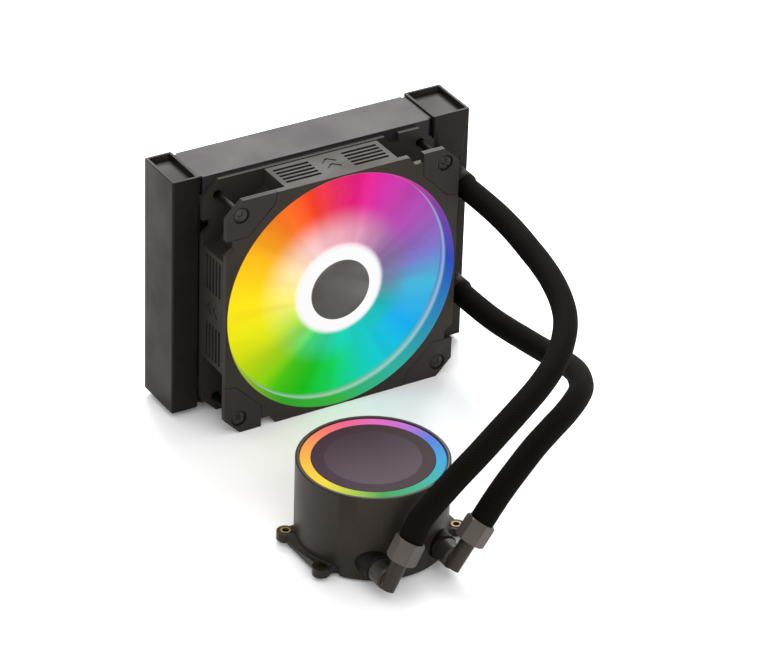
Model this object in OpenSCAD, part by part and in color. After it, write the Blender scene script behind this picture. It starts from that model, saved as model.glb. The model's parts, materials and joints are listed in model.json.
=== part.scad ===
// Closed-loop liquid cooler for a processor: a 120 mm radiator standing on its
// side plate, a 120 mm fan on its front, a round pump head with a copper cold
// plate, and two sleeved hoses between them. Millimetres, +Z up. The origin is
// the middle of the cold plate's contact face.

/* [Radiator] */
// How much longer the core is than the fan
core_over = 1; // [0:0.5:4]
// How much lower the radiator is than the fan
rad_short = 0.5; // [0:0.5:2]
// Depth, front face to rear face
rad_d = 27; // [25:1:32]
// Width of the return tank
return_tank_w = 13.5; // [11:0.5:16]
// Width of the port tank
port_tank_w = 19.5; // [17:0.5:22]
// Wall of both tanks
tank_wall = 2; // [1.5:0.25:2.5]
// Depth of the pocket in each tank's end
tank_pocket = 2.6; // [1.5:0.1:4]
// Rim round that pocket
tank_rim = 1.5; // [1:0.25:2]
// Height of the tanks above the floor
rad_lift = 3; // [1:0.5:6]
// Sheet of the side plates
plate_t = 1; // [0.8:0.1:1.2]
// How far the side plates sit inside the tanks' outline
plate_inset = 1; // [0.5:0.25:2]
// Height of the folded lips
lip_h = 14; // [12:0.5:16]
// Width of the slot between a lip and a tank
lip_slot_w = 2; // [1:0.5:3]
// Height of that slot
lip_slot_h = 9; // [6:1:11]
// Free thread hole in the rear lips
lip_hole_r = 1.5; // [1.25:0.05:1.55]
// Thickness of the header plates
header_t = 1.5; // [1:0.25:2]
// Number of flat tubes
tube_n = 12; // [8:1:14]
// Thickness of a flat tube
tube_t = 2; // [1.6:0.2:2.4]
// Depth of a flat tube
tube_d = 13; // [11:0.5:14]
// Wall of a flat tube
tube_wall = 0.4; // [0.3:0.1:0.6]
// Length of one fold of the fins
fin_pitch = 3.6; // [3:0.2:6]
// Thickness of the fin sheet, measured upright
fin_t = 1.2; // [0.8:0.1:1.6]

/* [Fan] */
// Side of the square frame
fan_w = 120; // [92:1:140]
// Depth of the frame
fan_t = 25; // [23:1:30]
// Distance from the frame's sides to the screw holes
hole_in = 7.5; // [7:0.25:8]
// Screw hole in the frame
fan_hole_r = 2.15; // [2:0.05:2.4]
// Thickness of both flanges
flange_t = 2.8; // [2:0.2:4]
// Thickness of the corner pads, set into the front flange
pad_t = 1.8; // [1.5:0.1:2]
// Distance from the frame's sides to the duct
duct_in = 2.7; // [2.4:0.1:4]
// Wall of the duct
duct_wall = 1.6; // [1.2:0.1:2]
// Distance from the frame's sides to the mouth at the front face
mouth_in = 1; // [0.7:0.1:2]
// Depth of the flare behind the mouth
mouth_d = 5; // [3:0.5:7]
// Cut across each corner
ear_cut = 8; // [5:0.5:10]
// Distance from the frame's corners to the slotted panels
panel_in = 31; // [29:0.5:33]
// Number of slots in each group
slot_n = 5; // [3:1:5]
// Width of a slot
slot_w = 1.6; // [1:0.1:1.8]
// Spacing of the slots
slot_pitch = 2.9; // [2.4:0.1:3.2]
// Inner end of the slots, from the middle
slot_from = 8.5; // [7:0.5:10]
// Distance from the slots to the panel's ends
slot_in = 2.5; // [2:0.5:4]
// Number of rotor blades
blade_n = 11; // [7:1:13]
// Running gap between the blade tips and the duct
tip_gap = 0.9; // [0.6:0.1:1.5]
// Outer radius of the rotor hub
hub_r = 22; // [20:0.5:24]
// Wall of the rotor hub
hub_wall = 1.6; // [1.2:0.1:2]
// Radius of the cap on the hub
cap_r = 15; // [12:0.5:18]
// Radius of the fan shaft
fan_shaft_r = 1.5; // [1.25:0.25:2]
// Angle of the blades at the hub
blade_pitch_hub = 50; // [44:1:56]
// Angle of the blades at the tip
blade_pitch_tip = 17; // [15:1:24]
// How far the blades' front edge drops back from hub to tip
blade_drop = 6.5; // [4:0.5:8]

/* [Pump head] */
// Radius of the pump housing
pump_r = 33.8; // [32:0.1:36]
// Height of the pump head
pump_h = 42.7; // [41:0.1:48]
// Wall of the housing
pump_wall = 1.9; // [1.5:0.1:2.2]
// Width of the light ring
ring_w = 4.6; // [3:0.2:6]
// Radius of the cold plate
plate_r = 27; // [25:0.5:28]
// Thickness of the cold plate
cold_t = 3.2; // [2.4:0.2:4]
// How far the cold plate stands below the housing
plate_proud = 1; // [0.5:0.1:1.5]
// Number of fine fins on the cold plate
micro_n = 16; // [8:1:20]
// Middle of a mounting ear, sideways
ear_x = 34; // [33:0.25:36]
// Middle of a mounting ear, front to back
ear_y = 15.5; // [13:0.5:18]
// Radius of a mounting ear
ear_r = 4; // [3.5:0.25:5]
// Thread radius in the ears
ear_hole_r = 1.5; // [1.25:0.05:2]

/* [Fittings and hoses] */
// Half the spacing of the two pump ports
port_half = 16.5; // [15:0.5:17.5]
// Height of the pump ports
port_z = 10; // [9.5:0.25:12]
// Distance from the pump's middle to the elbow tubes
elbow_y = 44; // [43:0.5:47]
// Lean of the left elbow from upright
left_lean = 28; // [20:1:40]
// Lean of the right elbow from upright
right_lean = 36; // [25:1:45]
// Radius of an elbow's tube
elbow_r = 3.6; // [3:0.1:4]
// Height of a ferrule's lower end up the elbow tube
ferrule_from = 9.8; // [8:0.2:12]
// Length of the crimped ferrules
ferrule_l = 10.5; // [9:0.5:13]
// Width across the flats of the pump ferrules
ferrule_af = 12; // [11:0.25:13]
// Radius of the round ferrules at the radiator
ferrule_r = 6.4; // [6:0.1:7]
// Radius of the sleeved hose
hose_r = 5.5; // [5:0.1:6]
// Half the spacing of the two radiator ports
rad_port_half = 28; // [24:1:34]

/* [Hidden] */
$fn = 64;

snug = 0.02;        // between pieces that are pressed or glued together
run_gap = 0.05;     // round a shaft that turns in its bearing
turn_gap = 0.4;     // between faces that pass each other
seam = 0.2;         // between trim pieces that lie side by side
eps = 0.01;

// Sizes that follow the fan's.
half = fan_w / 2;
fan_holes = fan_w - 2 * hole_in;
hole = fan_holes / 2;
duct_r = half - duct_in;
mouth_r = half - mouth_in;
panel_half = half - panel_in;
slot_to = panel_half - slot_in;
rad_l = fan_w + core_over + return_tank_w + port_tank_w;
rad_h = fan_w - rad_short;

// Places of the radiator, worked out from the pump head at the origin.
rad_x = 47;
rad_y = 127;
rad_x0 = rad_x - rad_l / 2;
rad_x1 = rad_x + rad_l / 2;
core_x0 = rad_x0 + return_tank_w;
core_x1 = rad_x1 - port_tank_w;
core_w = core_x1 - core_x0;
rad_top = rad_lift + rad_h;
plate_low = rad_lift + plate_inset;
plate_high = rad_top - plate_inset;
lip_front = rad_y + plate_inset;
lip_rear = rad_y + rad_d - plate_inset;
core_mid_y = rad_y + rad_d / 2;
core_low = plate_low + plate_t;
core_high = plate_high - plate_t;
tube_len = core_w + 2;
fin_h = (core_high - core_low - tube_n * tube_t) / (tube_n + 1);
mouth_low = rad_lift + tank_pocket + tank_wall;
mouth_high = rad_top - tank_pocket - tank_wall;

// Fan: seated on the front lips, lowest edge on the floor.
fan_x = (core_x0 + core_x1) / 2;
fan_z = fan_w / 2;
pad_side = half - 19;   // where a pad's edge leaves the frame's left side
pad_top = half - 25.5;  // where it leaves the frame's top
pad_step = 5.5;         // how far its short edges run in from the sides
notch_l = 7.5;
notch_d = 4.3;
notch_slope = 3;
panel_low = 0.4;        // how far the side panels lie below the flanges' edges
panel_skin = 1.8;
panel_end = 1.5;
arrow_arm = 4.8;
arrow_w = 1;
arrow_gap = 5.2;
arrow_cut = 0.5;
screw_head_r = 3.3;
screw_head_h = 1.8;
screw_crown = 6;        // radius of the head's rounded top
screw_past = 2.5;       // length of a screw behind the lip
recess_l = 4;           // cross recess of the screws
recess_w = 0.9;
recess_d = 1.1;
counterbore_r = 3.9;
counterbore_d = 1.4;
screw_r = 1.7;
base_t = 3;
base_rim = 0.5;         // how far the motor base lies inside the hub's outline
arm_w = 2.6;
arm_bow = duct_r - 9.3; // radius of the motor arms' curve
hub_back = 5;
hub_front = fan_t - 1.8;
bearing_r = 3;
bearing_len = 12;
boss_wall = 1.5;
magnet_t = 3;
magnet_len = 9;
stator_r = 15;
shaft_from = 1.5;
yoke_w = 2.6;           // ring in the middle of the fan's stator
yoke_h = 8;
pole_w = 3;
pole_h = 4;
coil_w = 6.8;
coil_l = 4.6;
shoe_t = 1.6;
shoe_w = 14;
chip = 2.5;             // small parts on the boards
chip_h = 0.9;
chip_in = 4.4;

// Pump head, from the floor up.
base_z = plate_proud;
base_h = 23;
base_r = pump_r - pump_wall - seam;
shell_in = pump_r - pump_wall;
chamber_r = 17;
chamber_from = 14.5;
lid_t = 2;
lid_r = 24;
can_r = 9;
can_h = 7;
led_z = pump_h - 4.3;
board_t = 1.2;
ring_top = pump_h - 0.5;
ledge_h = 1.4;
ledge_w = 1.5;
pump_board_z = 35;
pump_board_r = 24;
post_r = 1.4;
post_in = 3;            // how far the board's posts stand inside its edge
pin_r = 1;
wheel_t = 1.2;          // pump wheel: its disc, hub and vanes
wheel_hub_r = 5;
wheel_h = 6;
vane_h = 5;
vane_t = 1.2;
vane_r = 8.4;
vane_out = 9;
spool_w = 2.6;          // ring of the pump's stator and its coils
spool_h = 5;
spool_l = 7;
spool_b = 6;
wing_low = 2.2;
wing_h = 4;
wing_out = ear_x + 1.5;
collar_r = 6.2;
collar_from = 24;
collar_to = 34.5;
spigot_r = 4;
spigot_to = 27;
swivel_r = 5.5;
bore_r = 2.2;
elbow_foot = 4.2;
collar_edge = 0.8;
swivel_from = 1.2;      // bevelled end of an elbow's thick collar
pipe_in = 2;            // how far an elbow's pipe stops inside its ferrule

// Radiator ports.
rad_port_x = (core_x1 + rad_x1) / 2;
rad_mid_z = rad_lift + rad_h / 2;
barb_flange_r = 7.2;
barb_flange_t = 2;
barb_to = 13;
barb_step = 3;
barb_rise = 0.4;
rad_ferrule_l = 12;

// The hoses' routes. Each starts at its radiator ferrule and ends at its pump
// ferrule; the points between were chosen by hand for a radiator 154 long, and
// stretch with it.
stretch = rad_l / 154;
function port_start(s) = [rad_port_x, rad_y - barb_flange_t - rad_ferrule_l, rad_mid_z + s * rad_port_half];
function lean_dir(a) = [sin(a), 0, cos(a)];
function elbow_end(s, a) = [s * port_half, -elbow_y, port_z] + (ferrule_from + ferrule_l) * lean_dir(a);
upper_route = concat(
    [port_start(1), port_start(1) + [0, -13, 0]],
    stretch * [[114, 85, 90.5], [113, 70, 90], [111, 55, 89.5], [109, 40, 88.5], [105.5, 25, 88], [100.5, 10, 87],
     [94, -3, 86], [85, -15, 84.5], [74, -25.5, 82], [62, -33, 78.5], [49, -38.5, 74], [36, -42, 67.5],
     [24, -44, 60], [12, -44.5, 51]],
    [elbow_end(-1, left_lean) + 11 * lean_dir(left_lean), elbow_end(-1, left_lean)]);
lower_route = concat(
    [port_start(-1), port_start(-1) + [0, -13, 0]],
    stretch * [[114.5, 86, 35], [115, 73, 36], [115.5, 60, 37.5], [115.5, 47, 39.5], [115, 35, 42], [113.5, 23, 45],
     [110.5, 11, 48.5], [105.5, 0, 52], [99, -11, 54.5], [90, -20, 56], [79.5, -27.5, 56], [68, -33.5, 54.5],
     [57, -38, 51]],
    [elbow_end(1, right_lean) + 21 * lean_dir(right_lean) + [1.5, 1.5, -1.5],
     elbow_end(1, right_lean) + 11 * lean_dir(right_lean), elbow_end(1, right_lean)]);

body_black = [0.17, 0.16, 0.155];
frame_black = [0.19, 0.185, 0.18];
rubber_grey = [0.27, 0.25, 0.26];
hose_black = [0.08, 0.075, 0.07];
metal_grey = [0.33, 0.32, 0.32];
steel = [0.7, 0.7, 0.72];
copper = [0.8, 0.48, 0.32];
brass = [0.75, 0.6, 0.3];
milky = [0.93, 0.93, 0.95];
board_green = [0.08, 0.2, 0.12];

// Shared shapes

// A box with rounded upright edges.
module pillar(size, r) {
    translate([r, 0, 0]) cube([size[0] - 2 * r, size[1], size[2]]);
    translate([0, r, 0]) cube([size[0], size[1] - 2 * r, size[2]]);
    for (x = [r, size[0] - r], y = [r, size[1] - r])
        translate([x, y, 0]) cylinder(r = r, h = size[2], $fn = 32);
}

module ring(r_in, r_out, h) {
    difference() {
        cylinder(r = r_out, h = h);
        translate([0, 0, -eps]) cylinder(r = r_in, h = h + 2 * eps);
    }
}

// Moves a shape drawn round Z, front upwards, to the fan's place.
module at_fan() {
    translate([fan_x, lip_front, fan_z]) rotate([90, 0, 0]) children();
}

// A tube swept along a list of points: one ring of corners at each.
function unit(v) = v / norm(v);
function heading(path, i) =
    unit(path[min(i + 1, len(path) - 1)] - path[max(i - 1, 0)]);
function ring_at(p, t, r, n) =
    let (u = unit(cross(t, [0, 0, 1])), w = cross(u, t))
    [for (k = [0:n - 1]) p + r * cos(360 * k / n) * u + r * sin(360 * k / n) * w];
module swept_tube(path, r, n = 10, start = [0, -1, 0], finish = [0, 0, -1]) {
    m = len(path);
    tangents = [for (i = [0:m - 1]) i == 0 ? start : i == m - 1 ? finish : heading(path, i)];
    points = [for (i = [0:m - 1]) each ring_at(path[i], tangents[i], r, n)];
    polyhedron(points = points, faces = concat(
        [[for (k = [0:n - 1]) k]],
        [for (i = [0:m - 2], k = [0:n - 1])
            let (a = i * n + k, b = i * n + (k + 1) % n)
            each [[a, a + n, b + n], [a, b + n, b]]],
        [[for (k = [n - 1:-1:0]) (m - 1) * n + k]]));
}

// Radiator

// One end tank, open towards the core, with a pocket in each end.
module tank(x0, w, mouth_left) {
    mouth_x = mouth_left ? x0 - eps : x0 + tank_wall;
    difference() {
        translate([x0, rad_y, rad_lift]) pillar([w, rad_d, rad_h], 1);
        translate([mouth_x, rad_y + tank_wall, mouth_low])
            cube([w - tank_wall + eps, rad_d - 2 * tank_wall, mouth_high - mouth_low]);
        for (z = [rad_lift - eps, rad_top - tank_pocket])
            translate([x0 + tank_rim, rad_y + tank_rim, z])
                cube([w - 2 * tank_rim, rad_d - 2 * tank_rim, tank_pocket + eps]);
    }
}

module return_tank() {
    color(body_black) tank(rad_x0, return_tank_w, false);
}

// The port tank has a divider between its two halves and a hole for each barb.
module port_tank() {
    color(body_black) {
        difference() {
            tank(core_x1, port_tank_w, true);
            for (s = [-1, 1])
                translate([rad_port_x, rad_y - eps, rad_mid_z + s * rad_port_half])
                    rotate([-90, 0, 0]) cylinder(r = elbow_r, h = tank_wall + 2 * eps);
        }
        translate([core_x1 + 1.5, rad_y + tank_wall - eps, rad_mid_z - 1])
            cube([port_tank_w - tank_wall - 1.5 + eps, rad_d - 2 * tank_wall + 2 * eps, 2]);
    }
}

// Outline of a flat tube, seen along its length.
module tube_outline(d, t) {
    square([d - t, t], center = true);
    for (s = [-1, 1]) translate([s * (d - t) / 2, 0]) circle(d = t, $fn = 24);
}

module tube_places() {
    for (i = [0:tube_n - 1])
        translate([core_x0 - 1, core_mid_y, core_low + (i + 1) * fin_h + (i + 0.5) * tube_t])
            rotate([90, 0, 90]) children();
}

// A header plate closes a tank's mouth; the flat tubes pass through it.
module header(x0) {
    difference() {
        translate([x0, lip_front + plate_t, core_low])
            cube([header_t, lip_rear - lip_front - 2 * plate_t, core_high - core_low]);
        tube_places() linear_extrude(tube_len + 2) tube_outline(tube_d + 2 * snug, tube_t + 2 * snug);
    }
}

module return_header() { color(steel) header(core_x0); }
module port_header() { color(steel) header(core_x1 - header_t); }

module core_tubes() {
    color(metal_grey) tube_places() linear_extrude(tube_len) difference() {
        tube_outline(tube_d, tube_t);
        tube_outline(tube_d - 2 * tube_wall, tube_t - 2 * tube_wall);
    }
}

// One folded fin strip fills the space above or below each tube.
fin_l = core_w - 2 * header_t - 2 * seam;
fold_n = floor(fin_l / (fin_pitch / 2));
module core_fins() {
    fold = [for (i = [0:fold_n]) [i * fin_pitch / 2, (i % 2) * (fin_h - fin_t)]];
    color(metal_grey) for (k = [0:tube_n])
        translate([core_x0 + header_t + seam, core_mid_y + tube_d / 2, core_low + k * (fin_h + tube_t)])
            rotate([90, 0, 0]) linear_extrude(tube_d)
                polygon(concat(fold, [for (i = [fold_n:-1:0]) fold[i] + [0, fin_t]]));
}

// A side plate is a channel: a flat web with a lip folded in at the front and
// rear. The lips stop short of the tanks at their outer end.
module side_plate(z_web, up) {
    lip_z = up > 0 ? z_web : z_web + plate_t - lip_h;
    slot_z = up > 0 ? z_web - eps : z_web + plate_t - lip_slot_h;
    difference() {
        union() {
            translate([core_x0, lip_front, z_web]) cube([core_w, lip_rear - lip_front, plate_t]);
            for (y = [lip_front, lip_rear - plate_t])
                translate([core_x0, y, lip_z]) cube([core_w, plate_t, lip_h]);
        }
        for (x = [core_x0 - eps, core_x1 - lip_slot_w], y = [lip_front - eps, lip_rear - plate_t - eps])
            translate([x, y, slot_z])
                cube([lip_slot_w + eps, plate_t + 2 * eps, lip_slot_h + eps]);
        for (s = [-1, 1]) translate([fan_x + s * hole, 0, up > 0 ? fan_z - hole : fan_z + hole]) {
            translate([0, lip_front - eps, 0]) rotate([-90, 0, 0])
                cylinder(r = screw_r + run_gap, h = plate_t + 2 * eps);
            translate([0, lip_rear - plate_t - eps, 0]) rotate([-90, 0, 0])
                cylinder(r = lip_hole_r, h = plate_t + 2 * eps);
        }
    }
}

module top_side_plate() { color(body_black) side_plate(plate_high - plate_t, -1); }
module bottom_side_plate() { color(body_black) side_plate(plate_low, 1); }

// A barbed pipe brazed to the tank's front face.
module barb(s) {
    translate([rad_port_x, rad_y, rad_mid_z + s * rad_port_half]) rotate([90, 0, 0]) difference() {
        union() {
            cylinder(r = barb_flange_r, h = barb_flange_t);
            cylinder(r = elbow_r, h = barb_to);
            for (i = [1:3])
                translate([0, 0, barb_flange_t + i * barb_step])
                    cylinder(r1 = elbow_r + barb_rise, r2 = elbow_r, h = barb_step / 2);
        }
        translate([0, 0, -eps]) cylinder(r = bore_r, h = barb_to + 2 * eps);
    }
}

module upper_barb() { color(body_black) barb(1); }
module lower_barb() { color(body_black) barb(-1); }

module round_ferrule(s) {
    translate([rad_port_x, rad_y - barb_flange_t, rad_mid_z + s * rad_port_half]) rotate([90, 0, 0])
        rotate_extrude() polygon([
            [elbow_r + 0.5, 0], [ferrule_r, 0], [ferrule_r, 2], [ferrule_r - 0.4, 2.6], [ferrule_r - 0.4, 4],
            [ferrule_r, 4.6], [ferrule_r, rad_ferrule_l - 0.6], [ferrule_r - 0.6, rad_ferrule_l],
            [elbow_r + 0.5, rad_ferrule_l]]);
}

module upper_ferrule() { color(body_black) round_ferrule(1); }
module lower_ferrule() { color(body_black) round_ferrule(-1); }

module upper_hose() { color(hose_black) swept_tube(upper_route, hose_r, finish = -lean_dir(left_lean)); }
module lower_hose() { color(hose_black) swept_tube(lower_route, hose_r, finish = -lean_dir(right_lean)); }

// Fan

// The square outline of a flange, with cut corners and one notch beside each
// corner, turned a quarter for each side.
module flange_outline() {
    difference() {
        polygon([for (k = [0:3]) each
            [for (p = [[-half, half - ear_cut], [-half + ear_cut, half]])
                [p[0] * cos(90 * k) + p[1] * sin(90 * k), -p[0] * sin(90 * k) + p[1] * cos(90 * k)]]]);
        for (k = [0:3]) rotate(90 * k)
            polygon([[-pad_side, -half - 1], [-pad_side, -half + notch_d],
                     [-pad_side + notch_l - notch_slope, -half + notch_d],
                     [-pad_side + notch_l, -half], [-pad_side + notch_l, -half - 1]]);
    }
}

// Corner of the front flange that a pad takes up.
module pad_outline(grow = 0) {
    intersection() {
        flange_outline();
        polygon([[-half - 1, pad_side - grow], [-half + 2 * pad_step, pad_side - grow],
                 [-pad_top - 1 + grow, half - pad_step - grow], [-pad_top + grow, half + 1], [-half - 1, half + 1]]);
    }
}

module fan_hole_places() {
    for (x = [-hole, hole], y = [-hole, hole]) translate([x, y, 0]) children();
}

// A slotted panel between the flanges, in the middle of one side.
module side_panel() {
    depth = fan_t - 2 * flange_t;
    first = fan_t / 2 - (slot_n - 1) * slot_pitch / 2;
    face = half - panel_low;
    difference() {
        translate([-panel_half, 0, flange_t - eps]) cube([2 * panel_half, face, depth + 2 * eps]);
        for (i = [0:slot_n - 1], s = [0, 1]) mirror([s, 0, 0])
            translate([slot_from, duct_r, first + i * slot_pitch - slot_w / 2])
                cube([slot_to - slot_from, half, slot_w]);
        // Two shallow arrows for the way of the air.
        for (k = [0, 1], s = [0, 1]) mirror([s, 0, 0])
            translate([0, face - arrow_cut, fan_t / 2 + (k - 0.95) * arrow_gap]) rotate([0, -45, 0])
                translate([0, 0, -arrow_w / 2]) cube([arrow_arm, 1, arrow_w]);
        // Behind the panel the space is open down to the duct.
        translate([-panel_half + panel_end, 0, flange_t])
            cube([2 * (panel_half - panel_end), face - panel_skin, depth]);
    }
}

// Two flanges on a round duct. The corners are open between the flanges, where
// only the screws pass, and the front flange has a pocket for each pad.
module fan_frame() {
    color(frame_black) at_fan() difference() {
        union() {
            linear_extrude(flange_t) flange_outline();
            translate([0, 0, fan_t - flange_t]) linear_extrude(flange_t) flange_outline();
            cylinder(r = duct_r + duct_wall, h = fan_t - eps, $fn = 128);
            for (k = [0:3]) rotate(90 * k) side_panel();
        }
        for (k = [0:3]) rotate(90 * k) translate([0, 0, fan_t - pad_t])
            linear_extrude(flange_t) pad_outline(seam);
        translate([0, 0, -1]) cylinder(r = duct_r, h = fan_t + 2, $fn = 128);
        translate([0, 0, fan_t - mouth_d])
            cylinder(r1 = duct_r, r2 = mouth_r, h = mouth_d + eps, $fn = 128);
        fan_hole_places() translate([0, 0, -1]) cylinder(r = fan_hole_r, h = fan_t + 2);
    }
    color(frame_black) at_fan() motor_mount();
}

// Motor base, its four curved arms and the tube that holds the bearing.
module motor_mount() {
    base_r_fan = hub_r - base_rim;
    arm_to = duct_r + duct_wall / 2;
    cylinder(r = base_r_fan, h = base_t * 0.8);
    ring(base_r_fan - boss_wall, base_r_fan, base_t * 1.2);
    ring(bearing_r + snug, bearing_r + boss_wall, base_t + bearing_len);
    intersection() {
        ring(base_r_fan - base_rim, arm_to, base_t);
        for (k = [0:3]) rotate(90 * k + 45) translate([0, -arm_bow, 0])
            ring(arm_bow - arm_w / 2, arm_bow + arm_w / 2, base_t);
    }
}

module corner_pad(k) {
    color(rubber_grey) at_fan() rotate(90 * k) difference() {
        translate([0, 0, fan_t - pad_t]) linear_extrude(pad_t) pad_outline();
        translate([-hole, hole, 0]) cylinder(r = fan_hole_r, h = fan_t + 1);
        translate([-hole, hole, fan_t - counterbore_d]) cylinder(r = counterbore_r, h = 3);
    }
}

module corner_pad_1() { corner_pad(0); }
module corner_pad_2() { corner_pad(1); }
module corner_pad_3() { corner_pad(2); }
module corner_pad_4() { corner_pad(3); }

// Long screws through the fan into the radiator's lip, with cross recesses.
module fan_screws() {
    seat = fan_t - counterbore_d;
    color(metal_grey) at_fan() fan_hole_places() difference() {
        union() {
            translate([0, 0, -plate_t - screw_past]) cylinder(r = screw_r, h = seat + plate_t + screw_past + 0.5,
                $fn = 32);
            translate([0, 0, seat]) intersection() {
                cylinder(r = screw_head_r, h = screw_head_h, $fn = 48);
                translate([0, 0, screw_head_h - screw_crown]) sphere(r = screw_crown, $fn = 64);
            }
        }
        for (a = [0, 90]) rotate(a)
            translate([-recess_l / 2, -recess_w / 2, seat + screw_head_h - recess_d])
                cube([recess_l, recess_w, 2 * recess_d]);
    }
}

module fan_bearing() {
    color(brass) at_fan() translate([0, 0, base_t])
        ring(fan_shaft_r + run_gap, bearing_r, bearing_len);
}

// Four-pole stator with its windings, pressed on the bearing tube.
module fan_stator() {
    r_in = bearing_r + boss_wall + snug;
    color(copper) at_fan() translate([0, 0, base_t * 2]) {
        ring(r_in, r_in + yoke_w, yoke_h);
        for (k = [0:3]) rotate(90 * k) {
            translate([r_in + yoke_w / 2, -pole_w / 2, (yoke_h - pole_h) / 2])
                cube([stator_r - r_in - yoke_w, pole_w, pole_h]);
            translate([r_in + yoke_w * 1.3, -coil_w / 2, yoke_h * 0.05]) cube([coil_l, coil_w, yoke_h * 0.9]);
            intersection() {
                translate([0, 0, yoke_h / 8]) ring(stator_r - shoe_t, stator_r, yoke_h * 0.75);
                translate([stator_r - coil_l, -shoe_w / 2, 0]) cube([2 * coil_l, shoe_w, yoke_h]);
            }
        }
    }
}

module fan_board() {
    color(board_green) at_fan() {
        translate([0, 0, base_t * 1.2]) ring(bearing_r + boss_wall + seam, hub_r - base_rim - seam / 2, board_t);
        for (k = [0:11]) rotate(30 * k + 15)
            translate([hub_r - chip_in, -chip / 2, base_t * 1.2 + board_t - eps]) cube([chip, chip, chip_h]);
    }
}

// A blade is lofted over stations from hub to tip: at each the chord turns
// flatter and sweeps forward, and its section is a thin cambered foil. Seen
// from the front, each blade reaches the next.
blade_stations = 6;
blade_steps = 7;
blade_tip_r = duct_r - tip_gap;
blade_mid_z = (hub_back + hub_front) / 2;
blade_depth = hub_front - hub_back - 1.5;
function mix(a, b, t) = a + (b - a) * t;
function blade_point(j, i, side) =
    let (t = j / (blade_stations - 1),
         r = mix(hub_r - 1, blade_tip_r, t),
         pitch = mix(blade_pitch_hub, blade_pitch_tip, t),
         u = i / (blade_steps - 1) - 0.5,
         z_run = mix(blade_depth, blade_depth - blade_drop, t),
         across = z_run / tan(pitch),
         camber = mix(2.6, 1.6, t) * (1 - 4 * u * u),
         thick = 0.35 + 1.1 * (1 - 4 * u * u) * mix(1, 0.6, t),
         sweep = 14 * t * t,
         a = (u * across + camber * sin(pitch) * 0.5) / r * 180 / PI + sweep,
         z = blade_mid_z - blade_drop / 2 * t - u * z_run + camber * cos(pitch) - 0.8 + side * thick / 2)
    [r * cos(a), -r * sin(a), z];
module blade() {
    n = blade_stations;
    m = blade_steps;
    top = [for (j = [0:n - 1], i = [0:m - 1]) blade_point(j, i, 1)];
    low = [for (j = [0:n - 1], i = [0:m - 1]) blade_point(j, i, -1)];
    o = n * m;
    skin = [for (j = [0:n - 2], i = [0:m - 2]) let (a = j * m + i) each
        [[a, a + 1, a + m + 1], [a, a + m + 1, a + m],
         [o + a, o + a + m + 1, o + a + 1], [o + a, o + a + m, o + a + m + 1]]];
    edges = [for (j = [0:n - 2]) let (a = j * m, b = j * m + m - 1) each
        [[a, a + m, o + a + m], [a, o + a + m, o + a],
         [b, o + b + m, b + m], [b, o + b, o + b + m]]];
    ends = [for (i = [0:m - 2]) let (a = i, b = (n - 1) * m + i) each
        [[a, o + a + 1, a + 1], [a, o + a, o + a + 1],
         [b, b + 1, o + b + 1], [b, o + b + 1, o + b]]];
    polyhedron(points = concat(top, low), faces = [for (f = concat(skin, edges, ends)) [f[2], f[1], f[0]]]);
}

module fan_impeller() {
    color(milky) at_fan() {
        difference() {
            union() {
                translate([0, 0, hub_back]) cylinder(r = hub_r, h = hub_front - hub_back);
                for (k = [0:blade_n - 1]) rotate(360 / blade_n * k) blade();
            }
            translate([0, 0, hub_back - 1])
                cylinder(r = hub_r - hub_wall, h = hub_front - hub_back + 1 - hub_wall);
        }
        translate([0, 0, hub_front - hub_wall - 4]) ring(fan_shaft_r + snug, 4.5, 4 + eps);
    }
}

module fan_hub_cap() {
    color(body_black) at_fan() translate([0, 0, hub_front]) rotate_extrude()
        polygon([[0, 0], [cap_r, 0], [cap_r, 0.5], [cap_r - 0.4, 0.9], [0, 0.9]]);
}

module fan_magnet() {
    color(metal_grey) at_fan() translate([0, 0, hub_back + 1])
        ring(hub_r - hub_wall - snug - magnet_t, hub_r - hub_wall - snug, magnet_len);
}

module fan_shaft() {
    color(steel) at_fan() translate([0, 0, shaft_from + base_t - 1.5 + 0.3])
        cylinder(r = fan_shaft_r, h = hub_front - hub_wall - shaft_from - base_t + 1.5 - 0.3 - snug);
}

// Pump head

// Outer cover: a round cup, open below, with an inner ledge for the light
// board, two holes for the port collars and notches for the base's wings.
module pump_housing() {
    color(body_black) difference() {
        union() {
            rotate_extrude($fn = 128) polygon([
                [shell_in, base_z], [pump_r - 0.4, base_z], [pump_r, base_z + 0.4], [pump_r, pump_h - 0.5],
                [pump_r - 0.5, pump_h], [shell_in + 0.3, pump_h], [shell_in, pump_h - 0.3]]);
            translate([0, 0, led_z - ledge_h]) difference() {
                cylinder(r = shell_in + eps, h = ledge_h);
                translate([0, 0, -1]) cylinder(r = shell_in - ledge_w, h = ledge_h + 2);
            }
        }
        for (s = [-1, 1]) {
            translate([s * port_half, 0, port_z]) rotate([90, 0, 0])
                cylinder(r = collar_r + seam, h = pump_r + 5);
            translate([s > 0 ? pump_r / 2 : -pump_r - 5, -ear_y - ear_r - 0.3, base_z - 1])
                cube([pump_r / 2 + 5, 2 * (ear_y + ear_r + 0.3), wing_low - base_z + wing_h + 1.2]);
        }
    }
}

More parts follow.
